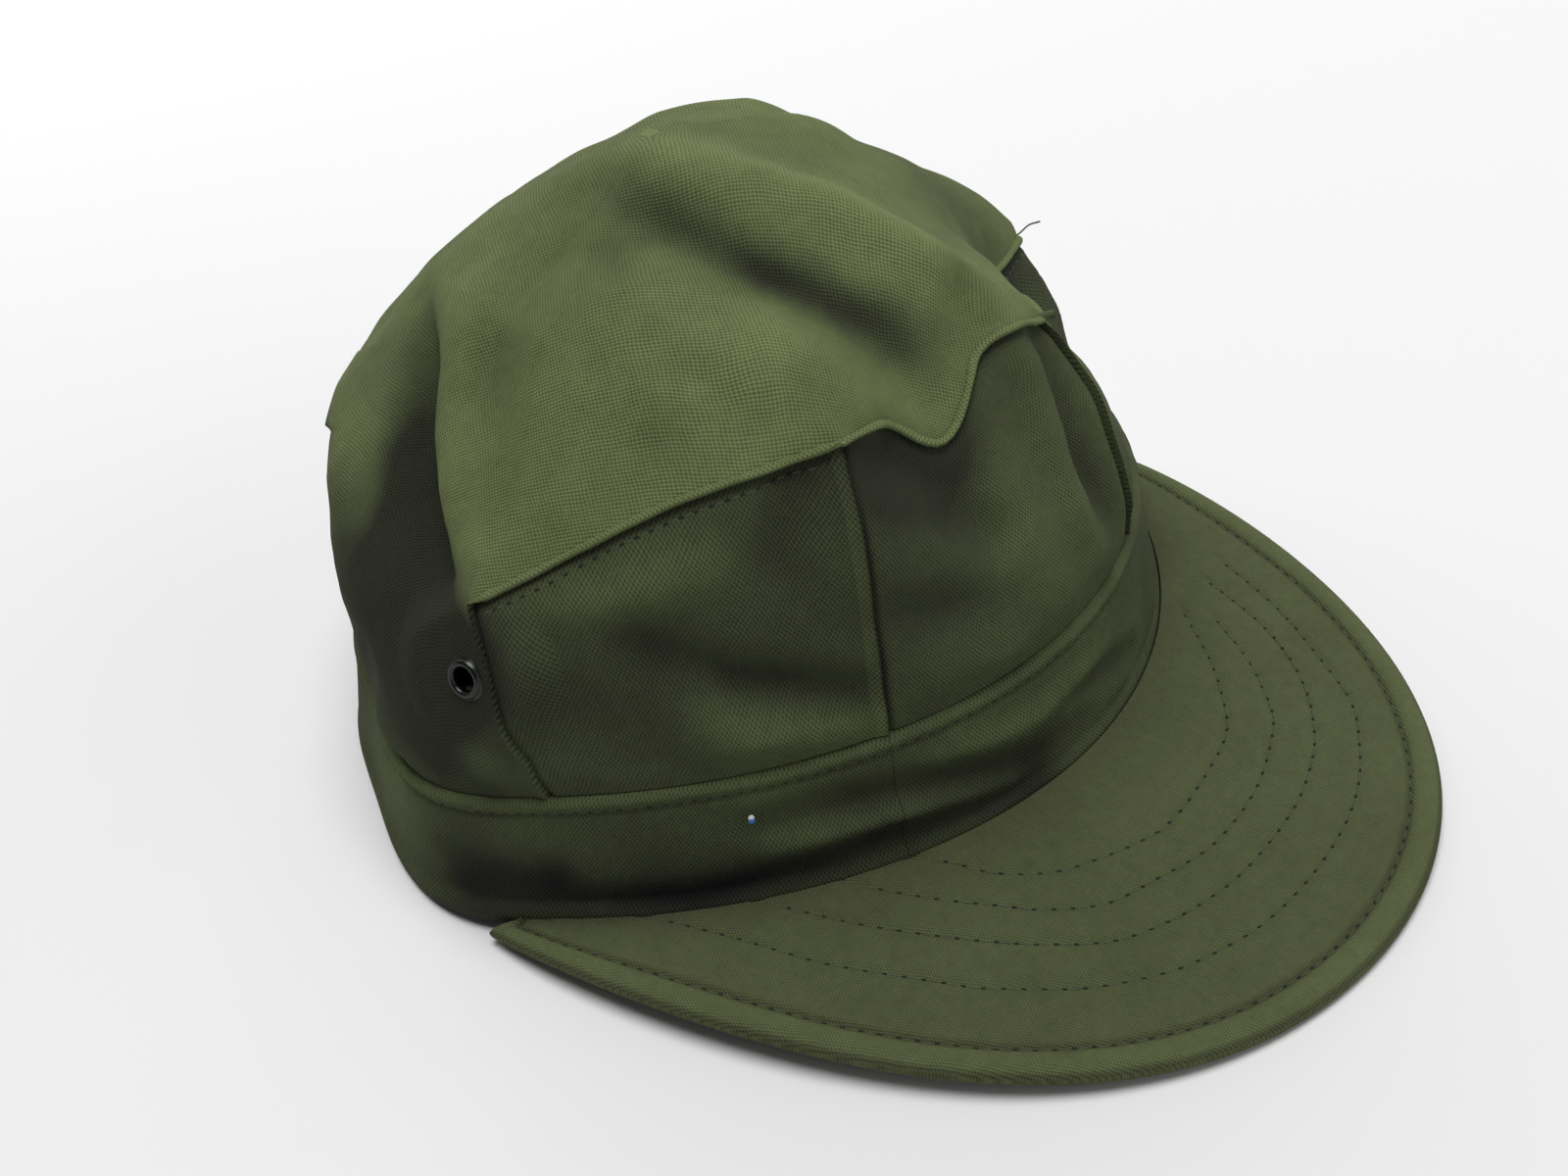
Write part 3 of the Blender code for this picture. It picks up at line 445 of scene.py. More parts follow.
def smooth_shoulder(deg):
    """The crown's upper edge at one angle, without its sags."""
    mirror = np.array((-1.0 if deg < 0.0 else 1.0, 1.0, 1.0))
    turn = abs(deg)
    if turn <= FRONT_SEAM_DEG:
        point = corner_point(CORNERS[0]) * mirror
        point[0] *= turn / FRONT_SEAM_DEG
        return point
    at = min(sum(1 for row in CORNERS if row[0] <= turn + 1e-9), len(CORNERS) - 1) - 1
    low, high = CORNERS[at], CORNERS[at + 1]
    share = (turn - low[0]) / (high[0] - low[0])
    start, end = corner_point(low), corner_point(high)
    if at == 0:
        return (start + (end - start) * share) * mirror
    before = corner_point(CORNERS[at - 1]) if at > 1 else start - (end - start) * 0.6
    mirrored = start * np.array((-1.0, 1.0, 1.0))
    after = corner_point(CORNERS[at + 2]) if at + 2 < len(CORNERS) else mirrored
    return catmull(before, start, end, after, share) * mirror


EDGE_DEGS = np.linspace(-180.0, 180.0, 3601)
EDGE_POINTS = np.array([smooth_shoulder(d) for d in EDGE_DEGS])


def shoulder(deg, sag_share):
    """The crown's upper edge, with a share of its sags."""
    deg = wrap(deg)
    point = np.stack([np.interp(deg, EDGE_DEGS, EDGE_POINTS[:, k]) for k in range(3)], axis=-1)
    away = unit(point * LEVEL)
    for at, width, down, out in EDGE_SAGS:
        strength = sag_share * FOLD_SIZE * hump(wrap(deg - at), width)
        point = point + away * (strength * out)[..., None]
        point[..., 2] -= strength * down
    return point


def wall_point(deg, level):
    """Outer face of the crown's wall, from the headband (0) to the edge (1)."""
    edge = shoulder(deg, np.ones_like(deg))
    foot = ring(deg, BAND_LEAN + SEAM_INSET, base_line(wrap(deg)) + BAND_HEIGHT + GAP)
    point = foot + (edge - foot) * level[..., None]
    return point + unit(foot * LEVEL) * (WALL_BULGE * 4.0 * level * (1.0 - level))[..., None]


def dome_point(deg, share):
    """The crown's top, from its edge (0) to its middle (1)."""
    centre = np.array((0.0, CROWN_CENTRE_BACK, CROWN_DOME_HEIGHT))
    total = 0.0
    steps = (-1.0, -0.5, 0.0, 0.5, 1.0)
    for step in steps:
        edge = shoulder(deg + step * DOME_BLEND_DEG * share, (1.0 - share) ** EDGE_SAG_FADE)
        point = edge + (centre - edge) * share[..., None]
        point[..., 2] = edge[..., 2] + (centre[2] - edge[..., 2]) * (1.0 - (1.0 - share) ** DOME_POWER)
        total = total + point
    return total / len(steps)


def crown_point(deg, level):
    """Outer face of the crown: level 0 at the headband, 1 at the edge, 2 at the middle."""
    wall = wall_point(deg, np.clip(level, 0.0, 1.0))
    top = dome_point(deg, np.clip(level - 1.0, 0.0, 1.0))
    return np.where((level > 1.0)[..., None], top, wall)


def rounded_crown_point(deg, level):
    """The crown's outer face, with its edge rounded over behind the side corners."""
    turn = np.abs(wrap(deg))
    rear = np.clip((turn - SIDE_SEAM_DEG) / REAR_ROUNDING_RISE_DEG, 0.0, 1.0)
    reach = np.minimum(REAR_ROUNDING * rear, np.clip(np.minimum(level, 2.0 - level), 0.0, None))
    samples = np.linspace(-1.0, 1.0, 7)
    return sum(crown_point(deg, level + reach * s) for s in samples) / len(samples)


def fold_depth(points, folds):
    """How far the folds move the cloth outward at each point."""
    scale = np.array((CROWN_HALF_WIDTH, CROWN_HALF_LENGTH, CROWN_DOME_HEIGHT))
    total = np.zeros(len(points))
    for width, line in folds:
        line = np.array(line) / 100.0
        best = np.zeros(len(points))
        for start, end in zip(line[:-1], line[1:]):
            share, away = to_segment(points, start[:3] * scale, end[:3] * scale)
            depth = (start[3] + (end[3] - start[3]) * share) * hump(away, width * FOLD_SIZE)
            best = np.where(np.abs(depth) > np.abs(best), depth, best)
        total += best
    return total * FOLD_SIZE


def eased(steps, strength):
    """Shares from 0 to 1 that crowd towards both ends."""
    t = np.linspace(0.0, 1.0, steps + 1)
    return t - strength * np.sin(2.0 * np.pi * t) / (2.0 * np.pi)


def column_angles():
    """Angles of the columns round the cap, crowded at the seams."""
    spans = ((-FRONT_SEAM_DEG, FRONT_SEAM_DEG, PANEL_STEPS, PANEL_CROWDING),
             (FRONT_SEAM_DEG, SIDE_SEAM_DEG, PANEL_STEPS, PANEL_CROWDING),
             (SIDE_SEAM_DEG, 360.0 - SIDE_SEAM_DEG, REAR_STEPS, REAR_CROWDING),
             (-SIDE_SEAM_DEG, -FRONT_SEAM_DEG, PANEL_STEPS, PANEL_CROWDING))
    return np.concatenate([a + (b - a) * eased(n, s)[:-1] for a, b, n, s in spans])


def skin_normals(points, quads):
    """Outward unit normals at the points of a skin of quads."""
    a, b, c, d = (points[quads[:, k]] for k in range(4))
    cross = np.cross(c - a, d - b)
    normals = np.zeros_like(points)
    for k in range(4):
        np.add.at(normals, quads[:, k], cross)
    return normals / np.maximum(np.linalg.norm(normals, axis=1, keepdims=True), 1e-12)


def outward(points):
    """Smooth outward directions over the whole crown, from a line up its middle."""
    away = points - np.array((0.0, CROWN_CENTRE_BACK, FOLD_AXIS_HEIGHT))
    away[:, 2] = np.maximum(away[:, 2], 0.0)
    return unit(away)


def boundary_edges(faces):
    """Edges that only one face uses, in that face's direction."""
    seen = {}
    for face in faces:
        for index, start in enumerate(face):
            end = face[(index + 1) % len(face)]
            if seen.pop((end, start), None) is None:
                seen[(start, end)] = True
    return list(seen)


def add_object(name, data):
    """A new object in the scene."""
    made = bpy.data.objects.new(name, data)
    bpy.context.scene.collection.objects.link(made)
    return made


def add_mesh(name, points, faces, uvs=None, wear_and_painted_light=None):
    """A smooth-shaded mesh object; uvs holds one (u, v) for each corner of each face."""
    mesh = bpy.data.meshes.new(name)
    mesh.from_pydata((np.asarray(points) + SHIFT).tolist(), [], [list(map(int, f)) for f in faces])
    if uvs is not None:
        layer = mesh.uv_layers.new(name="cloth")
        layer.data.foreach_set("uv", np.asarray(uvs, np.float32).ravel())
    # The wear attribute holds wear and painted light: paler where worn or highlighted, darker below 0 where
    # shade is painted
    if wear_and_painted_light is not None:
        worn_and_painted_light = mesh.attributes.new("wear_and_painted_light", "FLOAT", "POINT")
        worn_and_painted_light.data.foreach_set("value", np.clip(wear_and_painted_light, -0.5, 1.4).astype(np.float32))
    mesh.validate()
    mesh.shade_smooth()
    mesh.set_sharp_from_angle(angle=math.radians(70.0))
    return add_object(name, mesh)


def wrinkles(points, waves):
    """Gentle noise over the cloth, about as high as the waves' strengths."""
    total = 0.0
    for size, seed, strength in waves:
        offset = Vector((seed, seed * 0.7, seed * 1.3))
        height = np.array([noise.noise(Vector(p) / size + offset) for p in points])
        total = total + height * WRINKLE_GAIN * strength
    return total


def shell(name, outer, inner, uv, faces, wear_and_painted_light=None):
    """A closed cloth piece: both skins of the given faces, joined round the border."""
    faces = [tuple(f) for f in faces]
    used = np.array(sorted({v for face in faces for v in face}))
    place = {int(v): k for k, v in enumerate(used)}
    count = len(used)
    points = np.concatenate((outer[used], inner[used]))
    outside = [[place[v] for v in f] for f in faces]
    inside = [[place[v] + count for v in reversed(f)] for f in faces]
    border = [[place[b], place[a], place[a] + count, place[b] + count] for a, b in boundary_edges(faces)]
    lookup = uv[used]
    every = outside + inside + border
    flat = np.array([v % count for f in every for v in f])
    worn_and_painted_light = None if wear_and_painted_light is None else np.concatenate((wear_and_painted_light[used], wear_and_painted_light[used]))
    return add_mesh(name, points, every, lookup[flat], worn_and_painted_light)


def eyelet_frame(side):
    """Centre and outward axis of an eyelet, on the crown's outer face."""
    step = 1.5

    def at(deg, level):
        return rounded_crown_point(np.array([deg * side]), np.array([level]))[0]

    round_cap = at(EYELET_DEG + step, EYELET_LEVEL) - at(EYELET_DEG - step, EYELET_LEVEL)
    upward = at(EYELET_DEG, EYELET_LEVEL + 0.1) - at(EYELET_DEG, EYELET_LEVEL - 0.1)
    axis = unit(np.cross(round_cap, upward) * side)
    return at(EYELET_DEG, EYELET_LEVEL) - axis * (LEFT_EYELET_SINK if side > 0.0 else 0.0), axis


def flatten_at_eyelets(points):
    """Lays the cloth flat under each eyelet's flange."""
    for side in (1.0, -1.0):
        centre, axis = eyelet_frame(side)
        offset = points - centre
        away = np.linalg.norm(offset, axis=1)
        keep = np.clip((away - EYELET_FLAT_CLOTH) / EYELET_FLAT_FADE, 0.0, 1.0)
        off = offset @ axis
        held = (np.abs(off) < EYELET_FLAT_CLOTH) & (keep < 1.0)
        points[held] -= axis * (off * (1.0 - keep))[held, None]


def seam_lift(turn, level):
    """How far the laps and grooves of the seams move the crown's cloth."""
    lift = np.zeros(len(turn))
    for seam in (FRONT_SEAM_DEG, SIDE_SEAM_DEG):
        away = (turn - seam) * ARC_PER_DEG
        behind = LAP_RISE * hump(np.maximum(away, 0.0), LAP_WIDTH)
        before = -GROOVE_DEPTH * hump(away, GROOVE_WIDTH)
        lift += np.where(away > -1e-9, behind, before) * (level < 1.0)
    return lift


def crown_wear_and_painted_shading(points, turn, level, depth, below_lip):
    """Wear and painted light of the top's cloth, and of the panels' cloth: fading, painted shade in creases
    and painted highlights on crests and patches.
    """
    rear = np.clip((level - 0.80) / 0.30, 0.0, 1.0)
    top = np.where(turn > SIDE_SEAM_DEG + 0.01, rear * rear * (3.0 - 2.0 * rear), (level >= 0.999) * 1.0)
    # Painted shade in the creases and painted highlights on the crests and listed patches, with some fading
    tone_shift = (fold_depth(points, FADING_AND_PAINTED_LIGHT) + depth * FOLD_WEAR_AND_PAINTED_SHADE) / FOLD_SIZE
    top = top + tone_shift + wrinkles(points, TOP_MOTTLE)
    # The panels' cloth, with a painted shadow just under the lip
    panel = tone_shift + FRESH_FROM + wrinkles(points, PANEL_MOTTLE) - 0.25 * below_lip
    # A painted highlight along the lap past the front seam, and a painted shadow along the seam's groove
    beside = (turn - FRONT_SEAM_DEG) * ARC_PER_DEG
    panel += (level < 0.999) * 0.22 * ((beside > -1e-9) & (beside < 2.4 * MM))
    panel -= (level < 0.999) * 0.45 * hump(beside + 0.6 * MM, 0.8 * MM)
    return np.maximum(top, DARKEST), np.maximum(panel, DARKEST)


def crown_maps(points, deg, angles):
    """The cloth's map on the walls, and on the top."""
    count = len(angles)
    run = np.tile(run_along(ring(angles, 0.0, 0.0)), len(points) // count)
    wall_map = np.stack((run, points[:, 2]), axis=1) / MAP_UNIT
    lengths = np.linalg.norm(np.diff(points.reshape(-1, count, 3), axis=0), axis=2)
    to_middle = np.concatenate((np.cumsum(lengths[::-1], axis=0)[::-1], np.zeros((1, count)))).ravel()
    around = np.radians(deg)
    return wall_map, np.stack((to_middle * np.sin(around), -to_middle * np.cos(around)), axis=1) / MAP_UNIT


def build_crown():
    """The crown's cloth: top and back in one, the front, and two sides."""
    angles = column_angles()
    count = len(angles)
    top_rows = 1.0 + np.linspace(0.0, 1.0, TOP_STEPS + 1)[1:-1] ** TOP_CROWDING
    rows = np.concatenate((eased(WALL_STEPS, WALL_CROWDING), top_rows))
    level, deg = (g.ravel() for g in np.meshgrid(rows, angles, indexing="ij"))
    turn = np.abs(wrap(deg))
    grid = np.arange(len(rows) * count).reshape(len(rows), count)
    quads = round_faces(grid)

    points = rounded_crown_point(deg, level)
    out = outward(points)
    depth = fold_depth(points, MAIN_FOLDS) + wrinkles(points, CROWN_WRINKLES) * MM
    points = points + out * (depth * np.clip(level / FOLDS_FREE_FROM, 0.0, 1.0))[:, None]
    flatten_at_eyelets(points)
    below_lip = hump(1.0 - level, BELOW_LIP_SHARE) * (level < 0.999) * (turn < SIDE_SEAM_DEG - 0.01)
    points = points + out * (seam_lift(turn, level) - BELOW_LIP_DEPTH * below_lip)[:, None]
    normals = skin_normals(points, quads)
    facing = np.clip(np.sum(normals * out, axis=1), 0.6, 1.0)
    inner = points - out * (CLOTH / facing)[:, None]

    centres = points[quads].mean(axis=1)
    closed = np.ones(len(quads), bool)
    for side in (1.0, -1.0):
        closed &= np.linalg.norm(centres - eyelet_frame(side)[0], axis=1) > EYELET_BORE_RADIUS + 0.5 * MM
    wall_map, top_map = crown_maps(points, deg, angles)
    top_wear_and_painted_shading, panel_wear_and_painted_shading = crown_wear_and_painted_shading(points, turn, level, depth, below_lip)
    cell_row, cell_column = np.divmod(np.arange(len(quads)), count)
    signed = wrap(angles + 0.01)[cell_column]
    on_top = (cell_row >= WALL_STEPS) | (np.abs(signed) > SIDE_SEAM_DEG)
    chosen = (np.abs(signed) < FRONT_SEAM_DEG, signed > FRONT_SEAM_DEG, signed < -FRONT_SEAM_DEG)

    last = grid[-1].tolist()
    apex = points[last].mean(axis=0)[None] - DOWN * APEX_RISE
    fan = [(v, last[(k + 1) % count], len(points)) for k, v in enumerate(last)]
    pieces = {"crown_top": shell(
        "crown_top_cloth", np.concatenate((points, apex)), np.concatenate((inner, apex + DOWN * CLOTH)),
        np.concatenate((top_map, [[0.0, 0.0]])), quads[on_top & closed].tolist() + fan,
        np.concatenate((top_wear_and_painted_shading, [1.0])))}
    for name, cells in zip(PANELS, chosen):
        faces = quads[cells & ~on_top & closed].tolist()
        pieces[name] = shell(name + "_cloth", points, inner, wall_map, faces, panel_wear_and_painted_shading)
    edge = grid[WALL_STEPS]
    return pieces, angles, points[edge], normals[edge]


def build_lip(angles, edge, normals):
    """The raised seam along the crown's sewn edge, swept along the edge."""
    order = np.argsort(wrap(angles))
    keep = [k for k in order if abs(wrap(angles[k])) <= SIDE_SEAM_DEG + 1e-6]
    line, out = edge[keep], normals[keep]
    tangents = unit(np.gradient(line, axis=0))
    across = unit(np.cross(tangents, out))
    out = np.cross(across, tangents)
    run = run_along(line)
    taper = np.clip(np.minimum(run, run[-1] - run) / LIP_TAPER, 0.25, 1.0)
    wave = 1.0 + 0.10 * np.sin(run / 0.0019) + 0.08 * np.sin(run / 0.0047)
    points, uvs = [], []
    for k, place in enumerate(line):
        for s in range(LIP_SIDES):
            a = 2.0 * math.pi * s / LIP_SIDES
            high = math.cos(a) * LIP_HALF_HEIGHT * taper[k] * wave[k] + LIP_PROUD
            points.append(place + out[k] * high + across[k] * (math.sin(a) * LIP_HALF_WIDTH * taper[k]))
            uvs.append((run[k] / MAP_UNIT, s * 0.05))
    faces = tube_faces(len(line), LIP_SIDES)
    flat = [uvs[v] for f in faces for v in f]
    return add_mesh("crown_seam_lip", np.array(points), faces, flat, np.full(len(points), LIP_WEAR))


def band_rows():
    """Shares up the headband and how proud the cloth stands there, in metres."""
    shares = np.concatenate([np.linspace(*span) for span in BAND_ROWS])
    up = shares * BAND_HEIGHT
    proud = np.zeros_like(shares)
    for profile, distance in ((BAND_TOP_PROFILE, BAND_HEIGHT - up), (BAND_FOOT_PROFILE, up)):
        for rise, at, width in profile:
            proud += rise * MM * hump(distance - at * MM, width * MM)
    return shares, proud


def band_height(deg, share):
    """Height on the headband, from its lower edge (0) to its upper edge (1)."""
    low = rim_height(wrap(deg))
    return low + (base_line(wrap(deg)) + BAND_HEIGHT - low) * share


def build_band():
    """The headband, with a welt along its upper edge and a turned lower edge."""
    angles = column_angles()
    count = len(angles)
    shares, proud = band_rows()
    share, deg = (g.ravel() for g in np.meshgrid(shares, angles, indexing="ij"))
    height = band_height(deg, share)
    lean = BAND_LEAN * share - np.repeat(proud, count)
    place = ring(deg, lean, height)
    fade = 1.0 - np.abs(2.0 * share - 1.0) ** 3
    folds = fold_depth(place, BAND_FOLDS) * fade
    moved = folds + wrinkles(place, BAND_WRINKLES) * MM * fade
    moved += wrinkles(place, BAND_PUCKER) * MM * hump((1.0 - share) * BAND_HEIGHT, PUCKER_REACH)
    lean = lean - np.where(moved < 0.0, DEEPEST_IN_BAND * np.tanh(moved / DEEPEST_IN_BAND), moved)
    inner_shares = np.linspace(0.0, 1.0, BAND_STEPS_INSIDE + 1)
    share_in, deg_in = (g.ravel() for g in np.meshgrid(inner_shares, angles, indexing="ij"))
    inner = ring(deg_in, BAND_LEAN * share_in + BAND_WALL, band_height(deg_in, share_in))
    points = np.concatenate((ring(deg, lean, height), inner))
    grid = np.arange(len(points)).reshape(-1, count)
    grid, grid_in = grid[:len(shares)], grid[len(shares):]
    foot, top = (np.stack((grid[row], grid_in[row])) for row in (0, -1))
    strips = ((grid, False), (grid_in, True), (foot, True), (top, False))
    faces = np.concatenate([round_faces(rows, flip) for rows, flip in strips]).tolist()
    run = np.tile(run_along(ring(angles, 0.0, 0.0)), len(points) // count)
    uv = np.stack((run, points[:, 2]), axis=1) / MAP_UNIT
    # Painted shade in the headband's creases and painted light on its ridges and listed patches, with random
    # mottling and a paler welt
    shade = FRESH_FROM + 0.08 + folds * 1.3 * FOLD_WEAR_AND_PAINTED_SHADE / FOLD_SIZE + wrinkles(place, BAND_MOTTLE)
    shade += fold_depth(place, BAND_PAINTED_LIGHT) / FOLD_SIZE + 0.12 * (share > 1.0 - WELT_HEIGHT / BAND_HEIGHT)
    shade = np.concatenate((shade, np.zeros(len(inner))))
    return add_mesh("headband_cloth", points, faces, uv[np.array(faces).ravel()], shade)


def visor_outline(share):
    """The visor's outer edge in plan, for share -1 at one end to 1 at the other."""
    turn = np.radians(share * VISOR_OUTLINE_END_DEG)
    end = ring(np.array(VISOR_END_DEG), -VISOR_END_PROUD, 0.0)
    cosine = np.cos(turn)
    across = end[0] * np.sin(turn) * (1.0 + VISOR_FULLNESS * cosine ** 2) + VISOR_SKEW_ACROSS * cosine ** 2
    reach = BAND_HALF_LENGTH + VISOR_REACH + end[1]
    bow = (1.0 + VISOR_BLUNTNESS) * cosine ** VISOR_ROUNDNESS - VISOR_BLUNTNESS * cosine ** 8
    return across, end[1] - reach * bow + VISOR_SKEW_ALONG * np.sin(2.0 * turn) * cosine


def build_visor():
    """The visor: its upper cloth with a hem, a rounded edge and the under cloth."""
    share = np.linspace(-VISOR_SEEN_SHARE, VISOR_SEEN_SHARE, VISOR_STEPS_ROUND + 1)
    deg = share * VISOR_END_DEG
    wall = visor_wall(deg)
    base = ring(deg, -GAP, base_line(deg) - GAP)
    across, along = visor_outline(share)
    lift = VISOR_FLOOR_CLEARANCE + VISOR_SIDE_RISE * np.sin(np.pi * np.minimum(1.0, np.abs(share))) ** 2
    edge = np.stack((across, along, lift + wall), axis=-1)
    span = np.linalg.norm((edge - base)[:, :2], axis=1)
    hem = np.minimum(HEM_WIDTH, span * 0.4)
    to_end = np.clip((VISOR_SEEN_SHARE - np.abs(share)) / VISOR_END_CLOSING, 0.02, 1.0)
    edge = base + (edge - base) * (1.0 - (1.0 - to_end) ** 2)[:, None]
    columns = len(share)

    def at(out, down=0.0):
        point = base + (edge - base) * out[:, None]
        point[:, 2] -= down
        return point

    flat_end = 1.0 - hem * FLAT_END / span
    rows = [at(flat_end * k / VISOR_STEPS_OUT) for k in range(VISOR_STEPS_OUT + 1)]
    hem_start = len(rows)
    rows += [at(1.0 - hem * back / span, -rise * MM) for back, rise in HEM_PROFILE]
    rows += [at(1.0 - hem * back / span, wall * drop) for back, drop in EDGE_PROFILE]
    rows += [at(flat_end * out, wall) for out in np.linspace(0.85, 0.0, VISOR_STEPS_UNDER)]
    total = len(rows)
    grid = np.arange(total * columns).reshape(total, columns)
    quads = np.stack((grid[:-1, :-1], grid[1:, :-1], grid[1:, 1:], grid[:-1, 1:]), axis=-1)
    behind = np.stack((grid[-1, 1:], grid[0, 1:], grid[0, :-1], grid[-1, :-1]), axis=-1)
    faces = quads.reshape(-1, 4).tolist() + behind.tolist()
    faces += [grid[:, 0].tolist(), grid[::-1, -1].tolist()]
    hem_line = rows[hem_start + HEM_GROOVE_ROW].copy()
    points = np.concatenate(rows)
    upper = np.arange(len(points)) < hem_start * columns
    for row in VISOR_ROWS:
        line = np.array(row) * MM
        nearest = np.min([to_segment(points[:, :2], *ends)[1] for ends in zip(line[:-1], line[1:])], axis=0)
        points[:, 2] -= upper * ROW_DIMPLE * hump(nearest, ROW_DIMPLE_WIDTH)
    flat = points[np.concatenate(faces)][:, :2] / MAP_UNIT
    # Painted highlights on the hem's raised rows and painted shade in its grooves; in_shade is painted shade
    # near the headband, deepest towards the ends
    row_painted_light = np.zeros(total)
    row_painted_light[hem_start:hem_start + len(HEM_PROFILE)] = [
        0.3 if rise > 0.0 else 0.9 * rise for back, rise in HEM_PROFILE]
    away = np.linalg.norm((points.reshape(total, columns, 3) - base)[:, :, :2], axis=2)
    in_shade = hump(away, VISOR_SHADE_REACH) * (0.25 + 0.65 * np.abs(share) ** 3)
    shade = np.repeat(row_painted_light, columns) - in_shade.ravel() + wrinkles(points, VISOR_MOTTLE)
    return add_mesh("visor_cloth", points, faces, flat, shade), hem_line


def resampled(line, pitch):
    """Points along a line at an even pitch."""
    line = np.asarray(line, float)
    run = run_along(line)
    stops = np.arange(pitch * 0.5, run[-1], pitch)
    return np.stack([np.interp(stops, run, line[:, k]) for k in range(line.shape[1])], axis=1)


def smoothed(line):
    """A smooth curve through the points of a line."""
    line = np.asarray(line, float)
    padded = np.concatenate((2.0 * line[:1] - line[1:2], line, 2.0 * line[-1:] - line[-2:-1]))
    shares = np.linspace(0.0, 1.0, 12, endpoint=False)
    curve = [catmull(*padded[k:k + 4], share) for k in range(len(line) - 1) for share in shares]
    return np.array(curve + [line[-1]])


def blob(centre, tangent, normal, half_length, half_width, half_height):
    """Points and faces of one small ellipsoid."""
    sideways = np.cross(normal, tangent)
    rings, sides = (-0.92, -0.6, 0.0, 0.6, 0.92), 6
    points = []
    for t in rings:
        swell = math.sqrt(1.0 - t * t)
        for k in range(sides):
            a = 2.0 * math.pi * k / sides
            beside = sideways * (swell * math.cos(a) * half_width)
            above = normal * (swell * math.sin(a) * half_height)
            points.append(centre + tangent * (t * half_length) + beside + above)
    return points, tube_faces(len(rings), sides)


def build_blobs(name, spots):
    """One mesh of many small ellipsoids."""
    points, faces = [], []
    for spot in spots:
        more, more_faces = blob(*spot)
        faces += [tuple(v + len(points) for v in f) for f in more_faces]
        points += more
    return add_mesh(name, points, faces)


def sewn_places(tree, starts, ways, least_facing=-1.0):
    """Where rays meet a cloth that faces them, and the cloth's normals there."""
    places, normals = [], []
    for start, way in zip(starts, ways):
        hit, normal = tree.ray_cast(Vector(start), Vector(way))[:2]
        if hit is not None and -normal.dot(Vector(way)) > least_facing:
            places.append(np.array(hit))
            normals.append(np.array(normal))
    return places, normals


def stitch_spots(places, normals):
    """Ellipsoids for the threads of a row, and dark ellipsoids of painted shade for the holes between them.
    """
    threads, shaded_holes = [], []
    for k in range(1, len(places) - 1):
        tangent = places[k + 1] - places[k - 1]
        tangent -= normals[k] * (tangent @ normals[k])
        half = np.linalg.norm(tangent) * STITCH_SHARE
        tangent = unit(tangent)
        threads.append((places[k], tangent, normals[k], half, THREAD_RADIUS, THREAD_RADIUS * 0.9))
        middle = (places[k] + places[k + 1]) / 2.0
        shaded_holes.append((middle, tangent, normals[k], HOLE_RADIUS * 1.4, HOLE_RADIUS * 0.85, HOLE_RADIUS * 0.4))
    return threads, shaded_holes


def cloth_tree(*pieces):
    """A search tree over the faces of some pieces, about the headband's middle."""
    points, faces = [], []
    for piece in pieces:
        faces += [[v + len(points) for v in face.vertices] for face in piece.data.polygons]
        points += [vertex.co - Vector(SHIFT) for vertex in piece.data.vertices]
    return BVHTree.FromPolygons(points, faces)


def build_strand(name, line, radius):
    """A loose thread along a line."""
    line = smoothed(line)
    tangents = unit(np.gradient(line, axis=0))
    sides = 6
    points = []
    for place, tangent in zip(line, tangents):
        first = unit(np.cross(tangent, (0.0, 0.0, 1.0)))
        second = np.cross(tangent, first)
        for side in range(sides):
            a = 2.0 * math.pi * side / sides
            points.append(place + (first * math.cos(a) + second * math.sin(a)) * radius)
    return add_mesh(name, np.array(points), tube_faces(len(line), sides))


def build_eyelet(side):
    """A rolled metal eyelet with its barrel through the cloth."""
    centre, axis = eyelet_frame(side)
    points = []
    for step in range(EYELET_SIDES):
        angle = 2.0 * math.pi * step / EYELET_SIDES
        points += [(r * math.cos(angle) * MM, r * math.sin(angle) * MM, h * MM) for r, h in EYELET_PROFILE]
    grid = np.arange(len(points)).reshape(EYELET_SIDES, -1).T
    faces = round_faces(np.concatenate((grid, grid[:1]))).tolist()
    turn = Vector(axis).to_track_quat("Z", "Y").to_matrix()
    placed = np.array([list(turn @ Vector(p)) for p in points]) + centre
    return add_mesh("eyelet_left_metal" if side > 0.0 else "eyelet_right_metal", placed, faces)


def feed(node, inputs):
    """Sets a node's inputs to values, or links them to other nodes' outputs."""
    for key, value in inputs.items():
        if isinstance(value, bpy.types.NodeSocket):
            node.id_data.links.new(value, node.inputs[key])
        else:
            node.inputs[key].default_value = value
    return node


def finish_of(name, inputs):
    """A material with the given inputs of its shader, and its nodes."""
    made = bpy.data.materials.new(name)
    made.use_nodes = True
    nodes = made.node_tree.nodes
    feed(nodes["Principled BSDF"], inputs)
    return made, nodes


def plain_material(name, colour, roughness):
    """One colour all over."""
    return finish_of(name, {"Base Color": (*colour, 1.0), "Roughness": roughness})[0]


